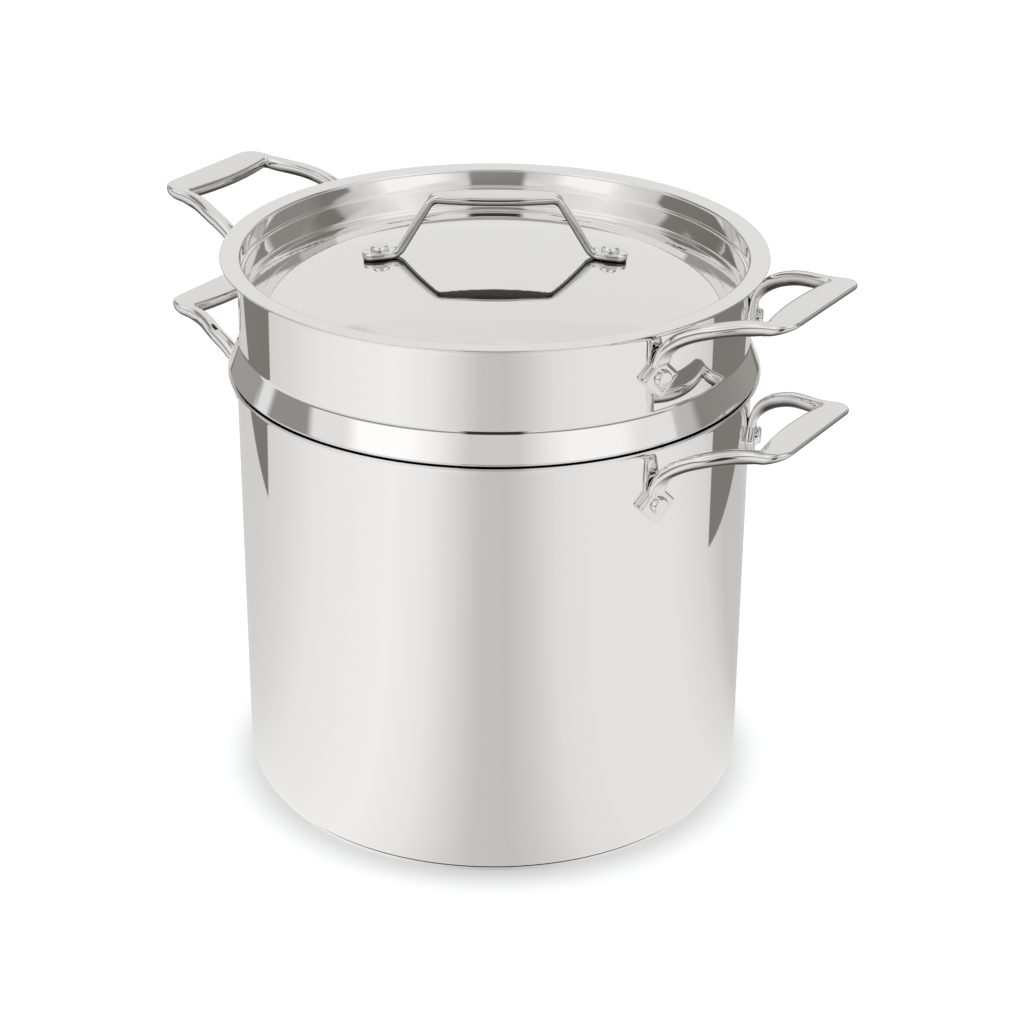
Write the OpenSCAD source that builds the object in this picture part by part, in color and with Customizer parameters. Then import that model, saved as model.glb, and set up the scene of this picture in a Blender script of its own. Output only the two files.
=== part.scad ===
// A tall pot, a strainer insert that hangs in it on its own shoulder, and a lid that fits both.
// The origin is at the middle of the base, the side handles lie along X and +Z is up.

/* [Pot] */
// Outer diameter of the pot's straight wall
pot_d = 262; // [230:1:300]
// Height of the pot from the table to the top of its rim
pot_h = 228; // [190:1:270]
// Thickness of the pot's sheet
pot_wall = 1; // [0.7:0.1:1.5]
// Width of the rounded lower corner, seen from below
corner_w = 6; // [5:0.5:10]
// Height of the rounded lower corner
corner_h = 11; // [8:0.5:20]
// Radius of the flare at the rims of the pot and of the insert
flare_r = 5; // [4:0.5:6.5]
// Angle that each flare turns outwards
flare_turn = 84; // [76:1:88]

/* [Base] */
// Thickness of the aluminium disc sealed in the base
core_h = 3; // [2.5:0.5:6]
// Thickness of the steel cap under that disc
cap_wall = 0.6; // [0.4:0.1:1]
// Gap left between the edge of the cap and the pot
seam_gap = 0.6; // [0.3:0.1:1]
// Distance from the pot's wall in to the edge of the cap
cap_inset = 5; // [4:0.5:30]

/* [Strainer insert] */
// Distance from the pot's wall in to the insert's upper wall
insert_inset = 2; // [1:0.25:4]
// Thickness of the insert's sheet
insert_wall = 0.8; // [0.6:0.1:1]
// Height of the insert's rim above the pot's rim
collar_h = 58.3; // [52:0.5:90]
// Height of the sloping shoulder
shoulder_h = 14; // [10:0.5:18]
// How far the shoulder's edge stands out from the upper wall
shoulder_out = 5.4; // [4.5:0.1:6]
// Radius of the fold at the shoulder's edge
fold_r = 1; // [0.9:0.05:1.2]
// Radius of the bends above the shoulder and above the basket
bend_r = 3.5; // [2:0.5:5]
// Gap between the perforated basket and the inside of the pot
basket_gap = 3.5; // [3:0.5:40]
// Radius of the basket's lower corner
basket_corner = 12; // [6:1:25]
// Water space between the pot's floor and the basket
water_gap = 20; // [10:1:40]
// Angle of the seat that lies on the pot's flare
seat_angle = 48; // [46:1:54]
// Gap between the insert's seat and the pot's flare
seat_gap = 0.3; // [0.2:0.05:0.5]

/* [Perforations] */
// Diameter of a drain hole
hole_d = 6; // [3:0.5:8]
// Height from one row of holes to the next
row_pitch = 18; // [12:1:30]
// Distance from one hole to the next around the wall
hole_pitch = 27; // [15:1:40]
// Distance from one ring of holes in the bottom to the next
ring_pitch = 20; // [14:1:40]
// Plain band above the basket's lower corner and below its top bend
plain_band = 14; // [8:1:40]

/* [Lid] */
// How far the lid's flange stands out from the insert's upper wall
lid_overhang = 8.3; // [7:0.1:12]
// Thickness of the lid's sheet
lid_wall = 0.8; // [0.6:0.1:1]
// Gap between the lid's wall and the inside of the insert
lid_fit = 0.4; // [0.3:0.05:1]
// Gap between the lid's flange and the insert's rim
lid_seat = 0.3; // [0.2:0.05:0.5]
// Depth from the flange to the lid's narrow step
step_depth = 9.4; // [6:0.2:12]
// Width of the lid's narrow step
step_w = 1.5; // [1.5:0.1:3]
// Depth from the flange to the lowest ring of the lid
lid_depth = 20.9; // [17:0.1:22]
// Height of the lid's crown above that ring
crown_h = 18; // [8:0.5:19]
// Radius of the bend between the lid's wall and its flange
lid_bend = 1.5; // [1.2:0.1:2.5]
// Rise of the flange towards its outer edge
flange_rise = 0.3; // [0:0.1:0.6]
// Turn of the lid's handle from the line of the side handles
lid_turn = 33; // [0:1:90]

/* [Side handles] */
// Distance from the pot's wall out to the outer edge of a grip
handle_out = 53.4; // [47:0.2:79]
// Distance between the two rivets of a pot handle
pot_spread = 96; // [90:1:100]
// Distance between the two rivets of an insert handle
insert_spread = 92; // [88:1:100]
// Height of the middle of a grip's upper face above its rivets
grip_rise = 34.2; // [30:0.1:40]
// Upward tilt of a grip towards its outer edge
grip_tilt = 4; // [0:0.5:6]
// Height of the pot's rim above the rivets of its handles
pot_rivet_drop = 30; // [27:1:60]
// Height of the insert's rim above the rivets of its handles
insert_rivet_drop = 24; // [22:0.5:27]
// Width of a grip at its middle
grip_w = 19; // [14:0.5:22]
// Length of a grip over its rounded corners
grip_l = 77; // [74:1:86]
// Thickness of a grip at its inner edge
grip_t = 6.4; // [5:0.2:7]
// Thickness of a grip at its outer edge
grip_edge = 2.6; // [2:0.1:4]
// Radius of a grip's outer corners
grip_corner = 10; // [4:0.5:12]
// Inward bow of a grip's inner edge
grip_bow = 3.2; // [2:0.2:6]
// Width of a handle's arm
arm_w = 7.2; // [6:0.2:8.4]
// Thickness of a handle's arm
arm_t = 7; // [5.6:0.2:8]
// Side of a square rivet pad
pad_side = 15.2; // [14:0.2:17]
// Thickness of a rivet pad
pad_t = 4; // [3:0.1:4.5]

/* [Lid handle] */
// Distance between the lid handle's two rivets
lid_spread = 114.6; // [104:0.2:124]
// Length of each foot past its rivet
foot_past = 9; // [7:0.5:12]
// Distance from a rivet in to the bend at the foot of the arm
foot_bend = 9; // [8:0.5:10]
// Width of a foot
foot_w = 11; // [10:0.5:13]
// Depth of the handle's arms from front to back
strap_w = 6.5; // [5:0.5:10]
// Thickness of the handle's feet and arms
strap_t = 3.6; // [3:0.1:4.5]
// Height of the bar's underside above the crown at the rivets
bar_rise = 29.4; // [24:0.2:36]
// Length of the bar between its two bends
bar_l = 63; // [54:1:72]
// Width of the bar at its middle
bar_w = 15; // [10:0.5:20]
// Thickness of the bar
bar_t = 4.8; // [4:0.2:6]

/* [Rivets] */
// Diameter of a rivet's shank
rivet_d = 5; // [4:0.5:6]
// Diameter of a rivet's domed head
head_d = 9.4; // [8:0.2:10]
// Height of a rivet's domed head
head_h = 3.2; // [2:0.2:4]
// Height of the flat head on a rivet's other end
tail_h = 1.4; // [1:0.1:1.6]
// Gap between a rivet and what it passes through or lies on
rivet_fit = 0.05; // [0.02:0.01:0.1]

/* [Hidden] */

steel = [0.87, 0.87, 0.86];
satin_steel = [0.78, 0.78, 0.77];
aluminium = [0.72, 0.74, 0.77];

round_fn = 128;
small_fn = 32;
arc_steps = 8;
clear = 1;
pad_corner = 1.5;
arm_rings = 14;
arm_sides = 12;
arm_squareness = 0.75;
head_rim = 0.8;
strap_bend = 3.4;

pot_r = pot_d / 2;
floor_z = cap_wall + core_h;
cap_r = pot_r - cap_inset;
cap_h = floor_z - seam_gap;
core_r = cap_r - cap_h;
flare_rise = (flare_r + pot_wall) * sin(180 - flare_turn);
pot_flare_c = [pot_r + flare_r, pot_h - flare_rise];

insert_r = pot_r - insert_inset;
insert_rim_z = pot_h + collar_h;
insert_flare_rise = (flare_r + insert_wall) * sin(180 - flare_turn);
insert_flare_c = [insert_r + flare_r, insert_rim_z - insert_flare_rise];
basket_r = pot_r - pot_wall - basket_gap;
basket_z = floor_z + pot_wall + water_gap;
seat_r = flare_r + pot_wall + seat_gap;
seat_point = pot_flare_c + seat_r * [-sin(seat_angle), cos(seat_angle)];
fold_x = insert_r + shoulder_out - fold_r;
fold_start_x = fold_x + fold_r * sin(seat_angle);
fold_z = seat_point.y + (fold_start_x - seat_point.x) * tan(seat_angle) + fold_r * cos(seat_angle);
shoulder_angle = 180 - atan2(shoulder_h, shoulder_out);
shoulder_start = [fold_x, fold_z] + fold_r * [sin(shoulder_angle), -cos(shoulder_angle)];
shoulder_run = (insert_r + bend_r * (1 - sin(shoulder_angle)) - shoulder_start.x) / cos(shoulder_angle);
knee_z = shoulder_start.y + shoulder_run * sin(shoulder_angle) - bend_r * cos(shoulder_angle);
neck_x = basket_r + bend_r * (1 - sin(seat_angle));
neck_z = seat_point.y + (neck_x - seat_point.x) * tan(seat_angle) - bend_r * cos(seat_angle);

lid_r = insert_r + lid_overhang;
lid_wall_r = insert_r - insert_wall - lid_fit - lid_wall;
lid_step_r = lid_wall_r - step_w;
lid_top_z = insert_rim_z + lid_seat + lid_wall;
lid_ring_z = lid_top_z - lid_depth;
lid_step_z = lid_top_z - step_depth;
ring_fillet = 1.6;
step_bend = 1;
step_lip = step_w - step_bend;
crown_r = lid_step_r - ring_fillet;
crown_share = 0.5;
crown_steps = 24;

pot_rivet_z = pot_h - pot_rivet_drop;
insert_rivet_z = insert_rim_z - insert_rivet_drop;
handle_reach = pot_r + handle_out;
slot_half = grip_l / 2 - arm_w;
grip_inner_x = handle_reach - grip_w;
grip_mid_x = handle_reach - grip_w / 2;
arm_x = grip_inner_x + grip_bow;

// Points on an arc about c, from angle a0 to angle a1, with half widths rx and ry.
function arc(c, rx, ry, a0, a1) = [
    for (i = [0:arc_steps])
        let (a = a0 + (a1 - a0) * i / arc_steps)
        [c.x + rx * cos(a), c.y + ry * sin(a)]
];
function unit(v) = v / norm(v);
function left(v) = [-v.y, v.x];
function flipped(list) = [for (i = [len(list) - 1:-1:0]) list[i]];
function side_normal(path, i) = left(unit(path[i + 1] - path[i]));

// A path moved sideways by d, to its left where d is positive. Its first point only moves along Y.
function shifted(path, d) = [
    for (i = [0:len(path) - 1])
        let (
            before = side_normal(path, max(i - 1, 0)),
            after = side_normal(path, min(i, len(path) - 2)),
            middle = unit(before + after)
        )
        i == 0 ? path[0] + [0, d] : path[i] + middle * d / (middle * after)
];

// A closed outline of sheet of thickness t along a path.
function strip(path, t) = concat(path, flipped(shifted(path, t)));

// Height of the lid's crown over its lowest ring, at distance x from the lid's axis.
function crown(x) =
    let (s = x / crown_r)
    lid_ring_z + crown_h * (1 - crown_share * pow(s, 2) - (1 - crown_share) * pow(s, 4));
function crown_slope(x) = atan(
    -2 * crown_h / crown_r * (crown_share * x / crown_r + 2 * (1 - crown_share) * pow(x / crown_r, 3))
);

module turned(outline) {
    rotate_extrude($fn = round_fn) polygon(outline);
}

// The pot's outer surface, from the axis to the rim.
pot_path = concat(
    [[0, floor_z]],
    arc([pot_r - corner_w, floor_z + corner_h], corner_w, corner_h, -90, 0),
    arc(pot_flare_c, flare_r, flare_r, 180, 180 - flare_turn)
);

module pot_body() {
    color(steel)
    difference() {
        turned(strip(pot_path, pot_wall));
        for (side = [0, 180], end = [-1, 1])
            on_wall(pot_r, pot_spread, pot_rivet_z, side, end) rivet_hole();
    }
}

module base_core() {
    color(aluminium)
    translate([0, 0, cap_wall])
        cylinder(r = core_r, h = core_h, $fn = round_fn);
}

// The cap is a shallow dish under the core, with its edge turned up to the pot.
module base_cap() {
    color(satin_steel)
    turned(strip(
        concat([[0, 0]], arc([cap_r - cap_h, cap_h], cap_h, cap_h, -90, 0)),
        cap_wall
    ));
}

// The insert's outer surface: basket, seat on the pot's flare, fold, shoulder, upper wall and rim.
insert_path = concat(
    [[0, basket_z]],
    arc([basket_r - basket_corner, basket_z + basket_corner], basket_corner, basket_corner, -90, 0),
    arc([basket_r + bend_r, neck_z], bend_r, bend_r, 180, 90 + seat_angle),
    arc([fold_x, fold_z], fold_r, fold_r, seat_angle - 90, shoulder_angle - 90),
    arc([insert_r + bend_r, knee_z], bend_r, bend_r, 90 + shoulder_angle, 180),
    arc(insert_flare_c, flare_r, flare_r, 180, 180 - flare_turn)
);

holes_around = round(2 * PI * basket_r / hole_pitch);
rows_from = basket_z + basket_corner + plain_band;
rows_to = neck_z - plain_band;
row_count = 1 + floor((rows_to - rows_from) / row_pitch);
ring_count = floor((basket_r - basket_corner - hole_d) / ring_pitch);

module insert_body() {
    color(steel)
    difference() {
        turned(strip(insert_path, insert_wall));
        for (side = [0, 180], end = [-1, 1])
            on_wall(insert_r, insert_spread, insert_rivet_z, side, end) rivet_hole();
        wall_holes();
        bottom_holes();
    }
}

module wall_holes() {
    for (row = [0:row_count - 1], i = [0:holes_around - 1])
        rotate((i + row % 2 / 2) * 360 / holes_around)
        translate([basket_r - insert_wall / 2, 0, rows_from + row * row_pitch])
        rotate([0, 90, 0])
            cylinder(d = hole_d, h = insert_wall + 2 * clear, center = true, $fn = small_fn);
}

module bottom_holes() {
    for (ring = [1:ring_count], i = [0:6 * ring - 1])
        rotate(i * 60 / ring)
        translate([ring * ring_pitch, 0, basket_z - clear])
            cylinder(d = hole_d, h = insert_wall + 2 * clear, $fn = small_fn);
}

// The lid's upper surface: crown, lowest ring, narrow step, wall and flange.
lid_path = concat(
    [for (i = [0:crown_steps]) [crown_r * i / crown_steps, crown(crown_r * i / crown_steps)]],
    arc([crown_r, lid_ring_z + ring_fillet], ring_fillet, ring_fillet, -70, 0),
    arc([lid_step_r + step_bend, lid_step_z - step_bend], step_bend, step_bend, 180, 90),
    arc([lid_step_r + step_bend, lid_step_z + step_lip], step_lip, step_lip, -80, 0),
    arc([lid_wall_r + lid_bend, lid_top_z - lid_bend], lid_bend, lid_bend, 180, 90),
    [[lid_r, lid_top_z + flange_rise]]
);

module lid_body() {
    color(steel)
    rotate(lid_turn)
    difference() {
        turned(strip(lid_path, -lid_wall));
        for (side = [-1, 1])
            on_crown(side) rivet_hole();
    }
}

// Places a child on a wall of radius r, at one of two rivets that lie spread apart, with its Z along
// the wall's normal and its Y up.
module on_wall(r, spread, z, side, end) {
    rotate(side + end * pad_angle(r, spread))
    translate([r, 0, z])
    rotate([90, 0, 90])
        children();
}
function pad_angle(r, spread) = asin(spread / 2 / r);

// Places a child on the lid's crown at a rivet, with its Z along the crown's normal.
module on_crown(side) {
    translate([side * lid_spread / 2, 0, crown(lid_spread / 2)])
    rotate([0, -side * crown_slope(lid_spread / 2), 0])
        children();
}

module rivet_hole() {
    cylinder(d = rivet_d + 2 * rivet_fit, h = 4 * arm_w, center = true, $fn = small_fn);
}

// A rivet with its domed head over a pad of thickness grip and its flat head under a wall of
// thickness wall. Z = 0 is the outer face of the wall.
module rivet(grip, wall) {
    dome_z = grip + rivet_fit;
    tail_z = -wall - rivet_fit;
    color(steel)
    rotate_extrude($fn = small_fn)
        polygon(concat(
            [[0, tail_z - tail_h], [head_d / 2 - tail_h / 2, tail_z - tail_h], [head_d / 2, tail_z],
             [rivet_d / 2, tail_z], [rivet_d / 2, dome_z], [head_d / 2, dome_z]],
            arc([0, dome_z + head_rim], head_d / 2, head_h - head_rim, 0, 90)
        ));
}

// Points on a cubic curve through p[0] and p[3], and its direction.
function curve(p, t) =
    pow(1 - t, 3) * p[0] + 3 * t * pow(1 - t, 2) * p[1] + 3 * t * t * (1 - t) * p[2] + pow(t, 3) * p[3];
function curve_dir(p, t) =
    unit(pow(1 - t, 2) * (p[1] - p[0]) + 2 * t * (1 - t) * (p[2] - p[1]) + t * t * (p[3] - p[2]));
function mix(a, b, s) = a + (b - a) * s;

// A bar along a cubic curve, with a rounded section that grows from size0 at its start to size1 in
// the middle. Its width lies along across0 at the start and along across1 at the end.
module swept_bar(p, across0, across1, size0, size1) {
    points = [
        for (i = [0:arm_rings])
            let (
                t = i / arm_rings,
                along = curve_dir(p, t),
                up = unit(cross(along, unit(mix(across0, across1, t)))),
                across = cross(up, along),
                size = mix(size0, size1, min(1, 2 * t))
            )
            for (k = [0:arm_sides - 1])
                let (a = (k + 0.5) * 360 / arm_sides)
                curve(p, t)
                + across * size.x / 2 * sign(cos(a)) * pow(abs(cos(a)), arm_squareness)
                + up * size.y / 2 * sign(sin(a)) * pow(abs(sin(a)), arm_squareness)
    ];
    last = arm_rings * arm_sides;
    faces = concat(
        [[for (k = [0:arm_sides - 1]) k]],
        [[for (k = [arm_sides - 1:-1:0]) last + k]],
        [for (i = [0:arm_rings - 1], k = [0:arm_sides - 1])
            let (a = i * arm_sides + k, b = i * arm_sides + (k + 1) % arm_sides)
            [a, a + arm_sides, b]],
        [for (i = [0:arm_rings - 1], k = [0:arm_sides - 1])
            let (a = i * arm_sides + k, b = i * arm_sides + (k + 1) % arm_sides)
            [b, a + arm_sides, b + arm_sides]]
    );
    polyhedron(points, faces);
}

// Half of a grip's outline, from the middle of its inner edge to the middle of its outer edge.
function grip_half() =
    let (
        bow_r = (pow(slot_half, 2) + pow(grip_bow, 2)) / 2 / grip_bow,
        bow_a = asin(slot_half / bow_r)
    )
    concat(
        arc([grip_inner_x + bow_r, 0], bow_r, bow_r, 180, 180 - bow_a),
        [[arm_x, grip_l / 2]],
        arc([handle_reach - grip_corner, grip_l / 2 - grip_corner], grip_corner, grip_corner, 90, 0)
    );
function mirrored(list) = [for (i = [len(list) - 1:-1:1]) [list[i].x, -list[i].y]];

// A grip tilted about its middle: flat on top, and thinner towards its outer edge.
module grip() {
    translate([grip_mid_x, 0, grip_rise])
    rotate([0, -grip_tilt, 0])
    difference() {
        translate([-grip_mid_x, 0, -grip_t])
        linear_extrude(grip_t)
            polygon(concat(grip_half(), mirrored(grip_half())));
        translate([grip_w / 2, 0, -grip_edge])
        rotate([0, -atan((grip_t - grip_edge) / grip_w), 0])
        translate([0, 0, -grip_t])
            cube([3 * grip_w, 2 * grip_l, 2 * grip_t], center = true);
    }
}

// A square pad standing on one corner, with rounded corners.
function pad_outline() = [
    for (q = [0:3])
        let (c = (pad_side / sqrt(2) - pad_corner * sqrt(2)) * [cos(90 * q), sin(90 * q)])
        each arc(c, pad_corner, pad_corner, 90 * q - 45, 90 * q + 45)
];

// The curve of a handle's arm, from its pad at one end to the grip.
function arm_curve(r, spread, end) =
    let (
        a = end * pad_angle(r, spread),
        root = [(r + pad_t / 2) * cos(a), (r + pad_t / 2) * sin(a), head_d / 2 + head_rim],
        tip_x = arm_x + arm_w / 2,
        tip_z = grip_rise + (tip_x - grip_mid_x) * tan(grip_tilt) - arm_t / 2,
        tip = [tip_x, end * (grip_l - arm_w) / 2, tip_z],
        lead_x = root.x + 2 * arm_w,
        lead = [lead_x, root.y, tip_z - (tip_x - lead_x) * tan(grip_tilt)]
    )
    [root, [root.x + head_rim, root.y, root.z + (tip_z - root.z) / 2], lead, tip];

// A side handle about the Z axis of its vessel, with Z = 0 at its rivets, for a wall of radius r.
module side_handle(r, spread) {
    color(steel)
    difference() {
        union() {
            grip();
            for (end = [-1, 1]) {
                a = pad_angle(r, spread);
                swept_bar(arm_curve(r, spread, end),
                    [-end * sin(a), cos(a), 0], [0, 1, 0],
                    [arm_w + pad_corner, pad_t], [arm_w, arm_t]);
                on_wall(r, spread, 0, 0, end)
                    translate([0, 0, -clear]) linear_extrude(pad_t + clear) polygon(pad_outline());
            }
        }
        cylinder(r = r + rivet_fit, h = 8 * pad_side, center = true, $fn = round_fn);
        for (end = [-1, 1])
            on_wall(r, spread, 0, 0, end) rivet_hole();
    }
}

// The lid handle's lower face, from the end of its left foot to the middle of its bar.
lid_arm_x = lid_spread / 2 - foot_bend;
lid_foot_x = lid_spread / 2 + foot_past;
bar_z = crown(lid_spread / 2) + bar_rise;
arm_foot_z = crown(lid_arm_x) + rivet_fit;
function lid_foot_path() = [
    for (i = [0:4])
        let (x = mix(lid_foot_x, lid_spread / 2 - foot_w / 2 + strap_bend / 2, i / 4))
        [-x, crown(x) + rivet_fit]
];
// Points on an arc of radius r that rounds the corner at b of a path from a to c.
function rounded(a, b, c, r) =
    let (
        to_a = unit(a - b),
        to_c = unit(c - b),
        half = acos(to_a * to_c) / 2,
        centre = b + unit(to_a + to_c) * r / sin(half)
    )
    [for (i = [0:4]) centre + r * unit(b + mix(to_a, to_c, i / 4) * r / tan(half) - centre)];
function lid_half_path() =
    let (
        foot = lid_foot_path(),
        heel = [-lid_arm_x, arm_foot_z],
        corner = [-bar_l / 2, bar_z]
    )
    concat(
        foot,
        rounded(foot[len(foot) - 1], heel, corner, strap_bend + strap_t),
        rounded(heel, corner, [0, bar_z], strap_bend)
    );
function lid_handle_path() =
    concat(lid_half_path(), [for (p = flipped(lid_half_path())) [-p.x, p.y]]);
bar_bow = (bar_w - strap_w) / 2;
bar_bow_r = (pow(bar_l / 2, 2) + pow(bar_bow, 2)) / 2 / bar_bow;
bar_bow_a = asin(bar_l / 2 / bar_bow_r);

module lid_handle() {
    color(steel)
    rotate(lid_turn)
    difference() {
        union() {
            rotate([90, 0, 0])
            linear_extrude(strap_w, center = true)
                polygon(strip(lid_handle_path(), strap_t));
            translate([0, 0, bar_z])
            linear_extrude(bar_t)
                polygon(concat(
                    arc([0, bar_w / 2 - bar_bow_r], bar_bow_r, bar_bow_r, 90 + bar_bow_a, 90 - bar_bow_a),
                    arc([0, bar_bow_r - bar_w / 2], bar_bow_r, bar_bow_r, bar_bow_a - 90, -90 - bar_bow_a)
                ));
            for (side = [-1, 1])
                on_crown(side)
                translate([0, 0, rivet_fit])
                    cylinder(d = foot_w, h = strap_t, $fn = small_fn);
        }
        for (side = [-1, 1])
            on_crown(side) rivet_hole();
        difference() {
            translate([0, 0, lid_ring_z - clear])
                cylinder(r = lid_foot_x + foot_w, h = crown(0) - lid_ring_z + 2 * clear, $fn = round_fn);
            turned(strip([for (i = [0:crown_steps])
                let (x = (lid_foot_x + 2 * foot_w) * i / crown_steps)
                [x, crown(x) + rivet_fit]], crown_h + bar_rise));
        }
    }
}

module vessel_handle(r, spread, z, side) {
    translate([0, 0, z]) rotate(side) side_handle(r, spread);
}
module pot_handle(side) { vessel_handle(pot_r, pot_spread, pot_rivet_z, side); }
module pot_rivet(side, end) {
    on_wall(pot_r, pot_spread, pot_rivet_z, side, end) rivet(pad_t, pot_wall);
}
module insert_handle(side) { vessel_handle(insert_r, insert_spread, insert_rivet_z, side); }
module insert_rivet(side, end) {
    on_wall(insert_r, insert_spread, insert_rivet_z, side, end) rivet(pad_t, insert_wall);
}
module pot_handle_left() { pot_handle(180); }
module pot_handle_right() { pot_handle(0); }
module pot_rivet_left_front() { pot_rivet(180, 1); }
module pot_rivet_left_back() { pot_rivet(180, -1); }
module pot_rivet_right_front() { pot_rivet(0, -1); }
module pot_rivet_right_back() { pot_rivet(0, 1); }
module insert_handle_left() { insert_handle(180); }
module insert_handle_right() { insert_handle(0); }
module insert_rivet_left_front() { insert_rivet(180, 1); }
module insert_rivet_left_back() { insert_rivet(180, -1); }
module insert_rivet_right_front() { insert_rivet(0, -1); }
module insert_rivet_right_back() { insert_rivet(0, 1); }
module lid_rivet_left() { rotate(lid_turn) on_crown(-1) rivet(strap_t, lid_wall); }
module lid_rivet_right() { rotate(lid_turn) on_crown(1) rivet(strap_t, lid_wall); }

pot_body();
base_core();
base_cap();
pot_handle_left();
pot_handle_right();
pot_rivet_left_front();
pot_rivet_left_back();
pot_rivet_right_front();
pot_rivet_right_back();
insert_body();
insert_handle_left();
insert_handle_right();
insert_rivet_left_front();
insert_rivet_left_back();
insert_rivet_right_front();
insert_rivet_right_back();
lid_body();
lid_handle();
lid_rivet_left();
lid_rivet_right();
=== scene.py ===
"""Looks of a polished steel pasta pot: the pot, the strainer insert that hangs in it, and the lid.

Sizes are in millimetres in the pot's own frame, and become metres where a mesh is made.
"""

import logging
import math
from dataclasses import dataclass, field
from enum import Enum
from typing import Iterable, Sequence

import bmesh
import bpy
from mathutils import Matrix, Vector


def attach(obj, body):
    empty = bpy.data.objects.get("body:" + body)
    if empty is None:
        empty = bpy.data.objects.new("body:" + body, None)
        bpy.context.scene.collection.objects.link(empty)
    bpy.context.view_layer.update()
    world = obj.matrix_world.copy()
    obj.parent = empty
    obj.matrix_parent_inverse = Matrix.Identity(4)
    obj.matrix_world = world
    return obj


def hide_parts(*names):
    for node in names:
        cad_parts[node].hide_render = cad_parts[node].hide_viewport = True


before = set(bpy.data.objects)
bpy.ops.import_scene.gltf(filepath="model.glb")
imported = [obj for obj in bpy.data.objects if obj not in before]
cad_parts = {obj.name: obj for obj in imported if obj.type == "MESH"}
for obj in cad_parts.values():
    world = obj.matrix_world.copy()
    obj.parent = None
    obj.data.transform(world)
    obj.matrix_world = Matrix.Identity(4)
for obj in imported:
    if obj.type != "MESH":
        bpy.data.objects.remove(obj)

log = logging.getLogger("pasta_pot")
Point = tuple[float, float]
Line = tuple[float, float, float]
Colour = tuple[float, float, float, float]
Ring = list[Vector]
Places = dict[str, tuple[Vector, Vector]]
Tree = bpy.types.NodeTree
Feed = bpy.types.NodeSocket | bpy.types.Node

# One millimetre in metres, and the millimetres under which two points of a mesh count as one.
MM = 0.001
TOUCHING = 0.004
# Attribute that says where a cast piece takes painted shade on its undersides.
PAINTED_SHADE = "casting_skin"
# Nodes for a blend, a remapped range, and a place put together or taken apart.
MIX, RANGE = "ShaderNodeMix", "ShaderNodeMapRange"
JOIN, SPLIT = "ShaderNodeCombineXYZ", "ShaderNodeSeparateXYZ"
# Share of the light that polished steel gives back.
POLISH = 0.9
# A colour ramp ends at one, so the studio's tones are kept this many times darker and lit up again.
DIMMED = 2.0


class Part(Enum):
    """The three bodies that come apart."""

    POT = "pot"
    INSERT = "insert"
    LID = "lid"


class Side(Enum):
    """The two sides that carry handles, with their turn about the pot's axis."""

    RIGHT = 0
    LEFT = 180


class Slot(Enum):
    """The record's material slots that the pieces take."""

    POLISHED = "polished_steel"
    SATIN = "satin_steel"


def channel(share: float) -> float:
    """Turns one sRGB channel, from 0 to 1, into linear light."""
    return share / 12.92 if share <= 0.04045 else ((share + 0.055) / 1.055) ** 2.4


def linear(colour: str) -> Colour:
    """Turns an sRGB hex colour, six digits after a hash, into linear light with an alpha of one."""
    return (*(channel(int(colour[i : i + 2], 16) / 255) for i in (1, 3, 5)), 1.0)


def cleared(holder: bpy.types.Material | bpy.types.World) -> Tree:
    """Clears the nodes of a material or a world.

    Args:
        holder: The material or the world.

    Returns:
        Its empty tree.
    """
    holder.use_nodes = True
    holder.node_tree.nodes.clear()
    return holder.node_tree


def add(tree: Tree, kind: str, *feeds: object, **settings: object) -> bpy.types.Node:
    """Adds a node to a tree with its settings, values and links.

    Args:
        tree: The tree that the node joins.
        kind: The node's type name, or a step of arithmetic in capitals.
        feeds: What goes into its inputs, in order: values, sockets, or nodes for their first output.
            A dictionary gives inputs by name or number.
        settings: The node's own settings.

    Returns:
        The new node.
    """
    if kind.isupper():
        kind, settings = "ShaderNodeMath", {"operation": kind}
    node = tree.nodes.new(kind)
    for key, value in settings.items():
        setattr(node, key, value)
    pairs = {}
    for key, value in enumerate(feeds):
        pairs.update(value if isinstance(value, dict) else {key: value})
    for key, value in pairs.items():
        if isinstance(value, bpy.types.Node):
            value = next(out for out in value.outputs if out.enabled)
        if isinstance(value, bpy.types.NodeSocket):
            tree.links.new(value, node.inputs[key])
        else:
            node.inputs[key].default_value = value
    return node


def mix(a: float, b: float, share: float) -> float:
    """Returns the value that lies a share of the way from a to b."""
    return a + (b - a) * share


def ease(share: float) -> float:
    """Returns a share from 0 to 1 with a soft start and end."""
    share = min(1.0, max(0.0, share))
    return share * share * (3 - 2 * share)


def mesh_object(
    name: str, points: Iterable[Sequence[float]] = (), faces: Iterable[Sequence[int]] = ()
) -> bpy.types.Object:
    """Makes an object from points in millimetres.

    Args:
        name: The object's name.
        points: The mesh's points.
        faces: Indices of each face's points.

    Returns:
        The object, linked to the scene, at the origin.
    """
    mesh = bpy.data.meshes.new(name)
    mesh.from_pydata([Vector(p) * MM for p in points], [], list(faces))
    obj = bpy.data.objects.new(name, mesh)
    bpy.context.scene.collection.objects.link(obj)
    return obj


def settle(obj: bpy.types.Object, materials: Sequence[bpy.types.Material] = (), sharp: float = 40) -> None:
    """Merges doubles, turns faces outwards and shades a mesh smooth up to a sharp angle.

    Args:
        obj: The object to finish.
        materials: Materials for its slots. Without any, it keeps its own.
        sharp: Edges that turn more than this many degrees stay crisp.
    """
    work = bmesh.new()
    work.from_mesh(obj.data)
    bmesh.ops.remove_doubles(work, verts=work.verts, dist=TOUCHING * MM)
    bmesh.ops.dissolve_degenerate(work, edges=work.edges, dist=TOUCHING / 4 * MM)
    bmesh.ops.recalc_face_normals(work, faces=work.faces)
    work.to_mesh(obj.data)
    work.free()
    if materials:
        obj.data.materials.clear()
        for material in materials:
            obj.data.materials.append(material)
    obj.data.shade_smooth()
    obj.data.set_sharp_from_angle(angle=math.radians(sharp))


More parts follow.
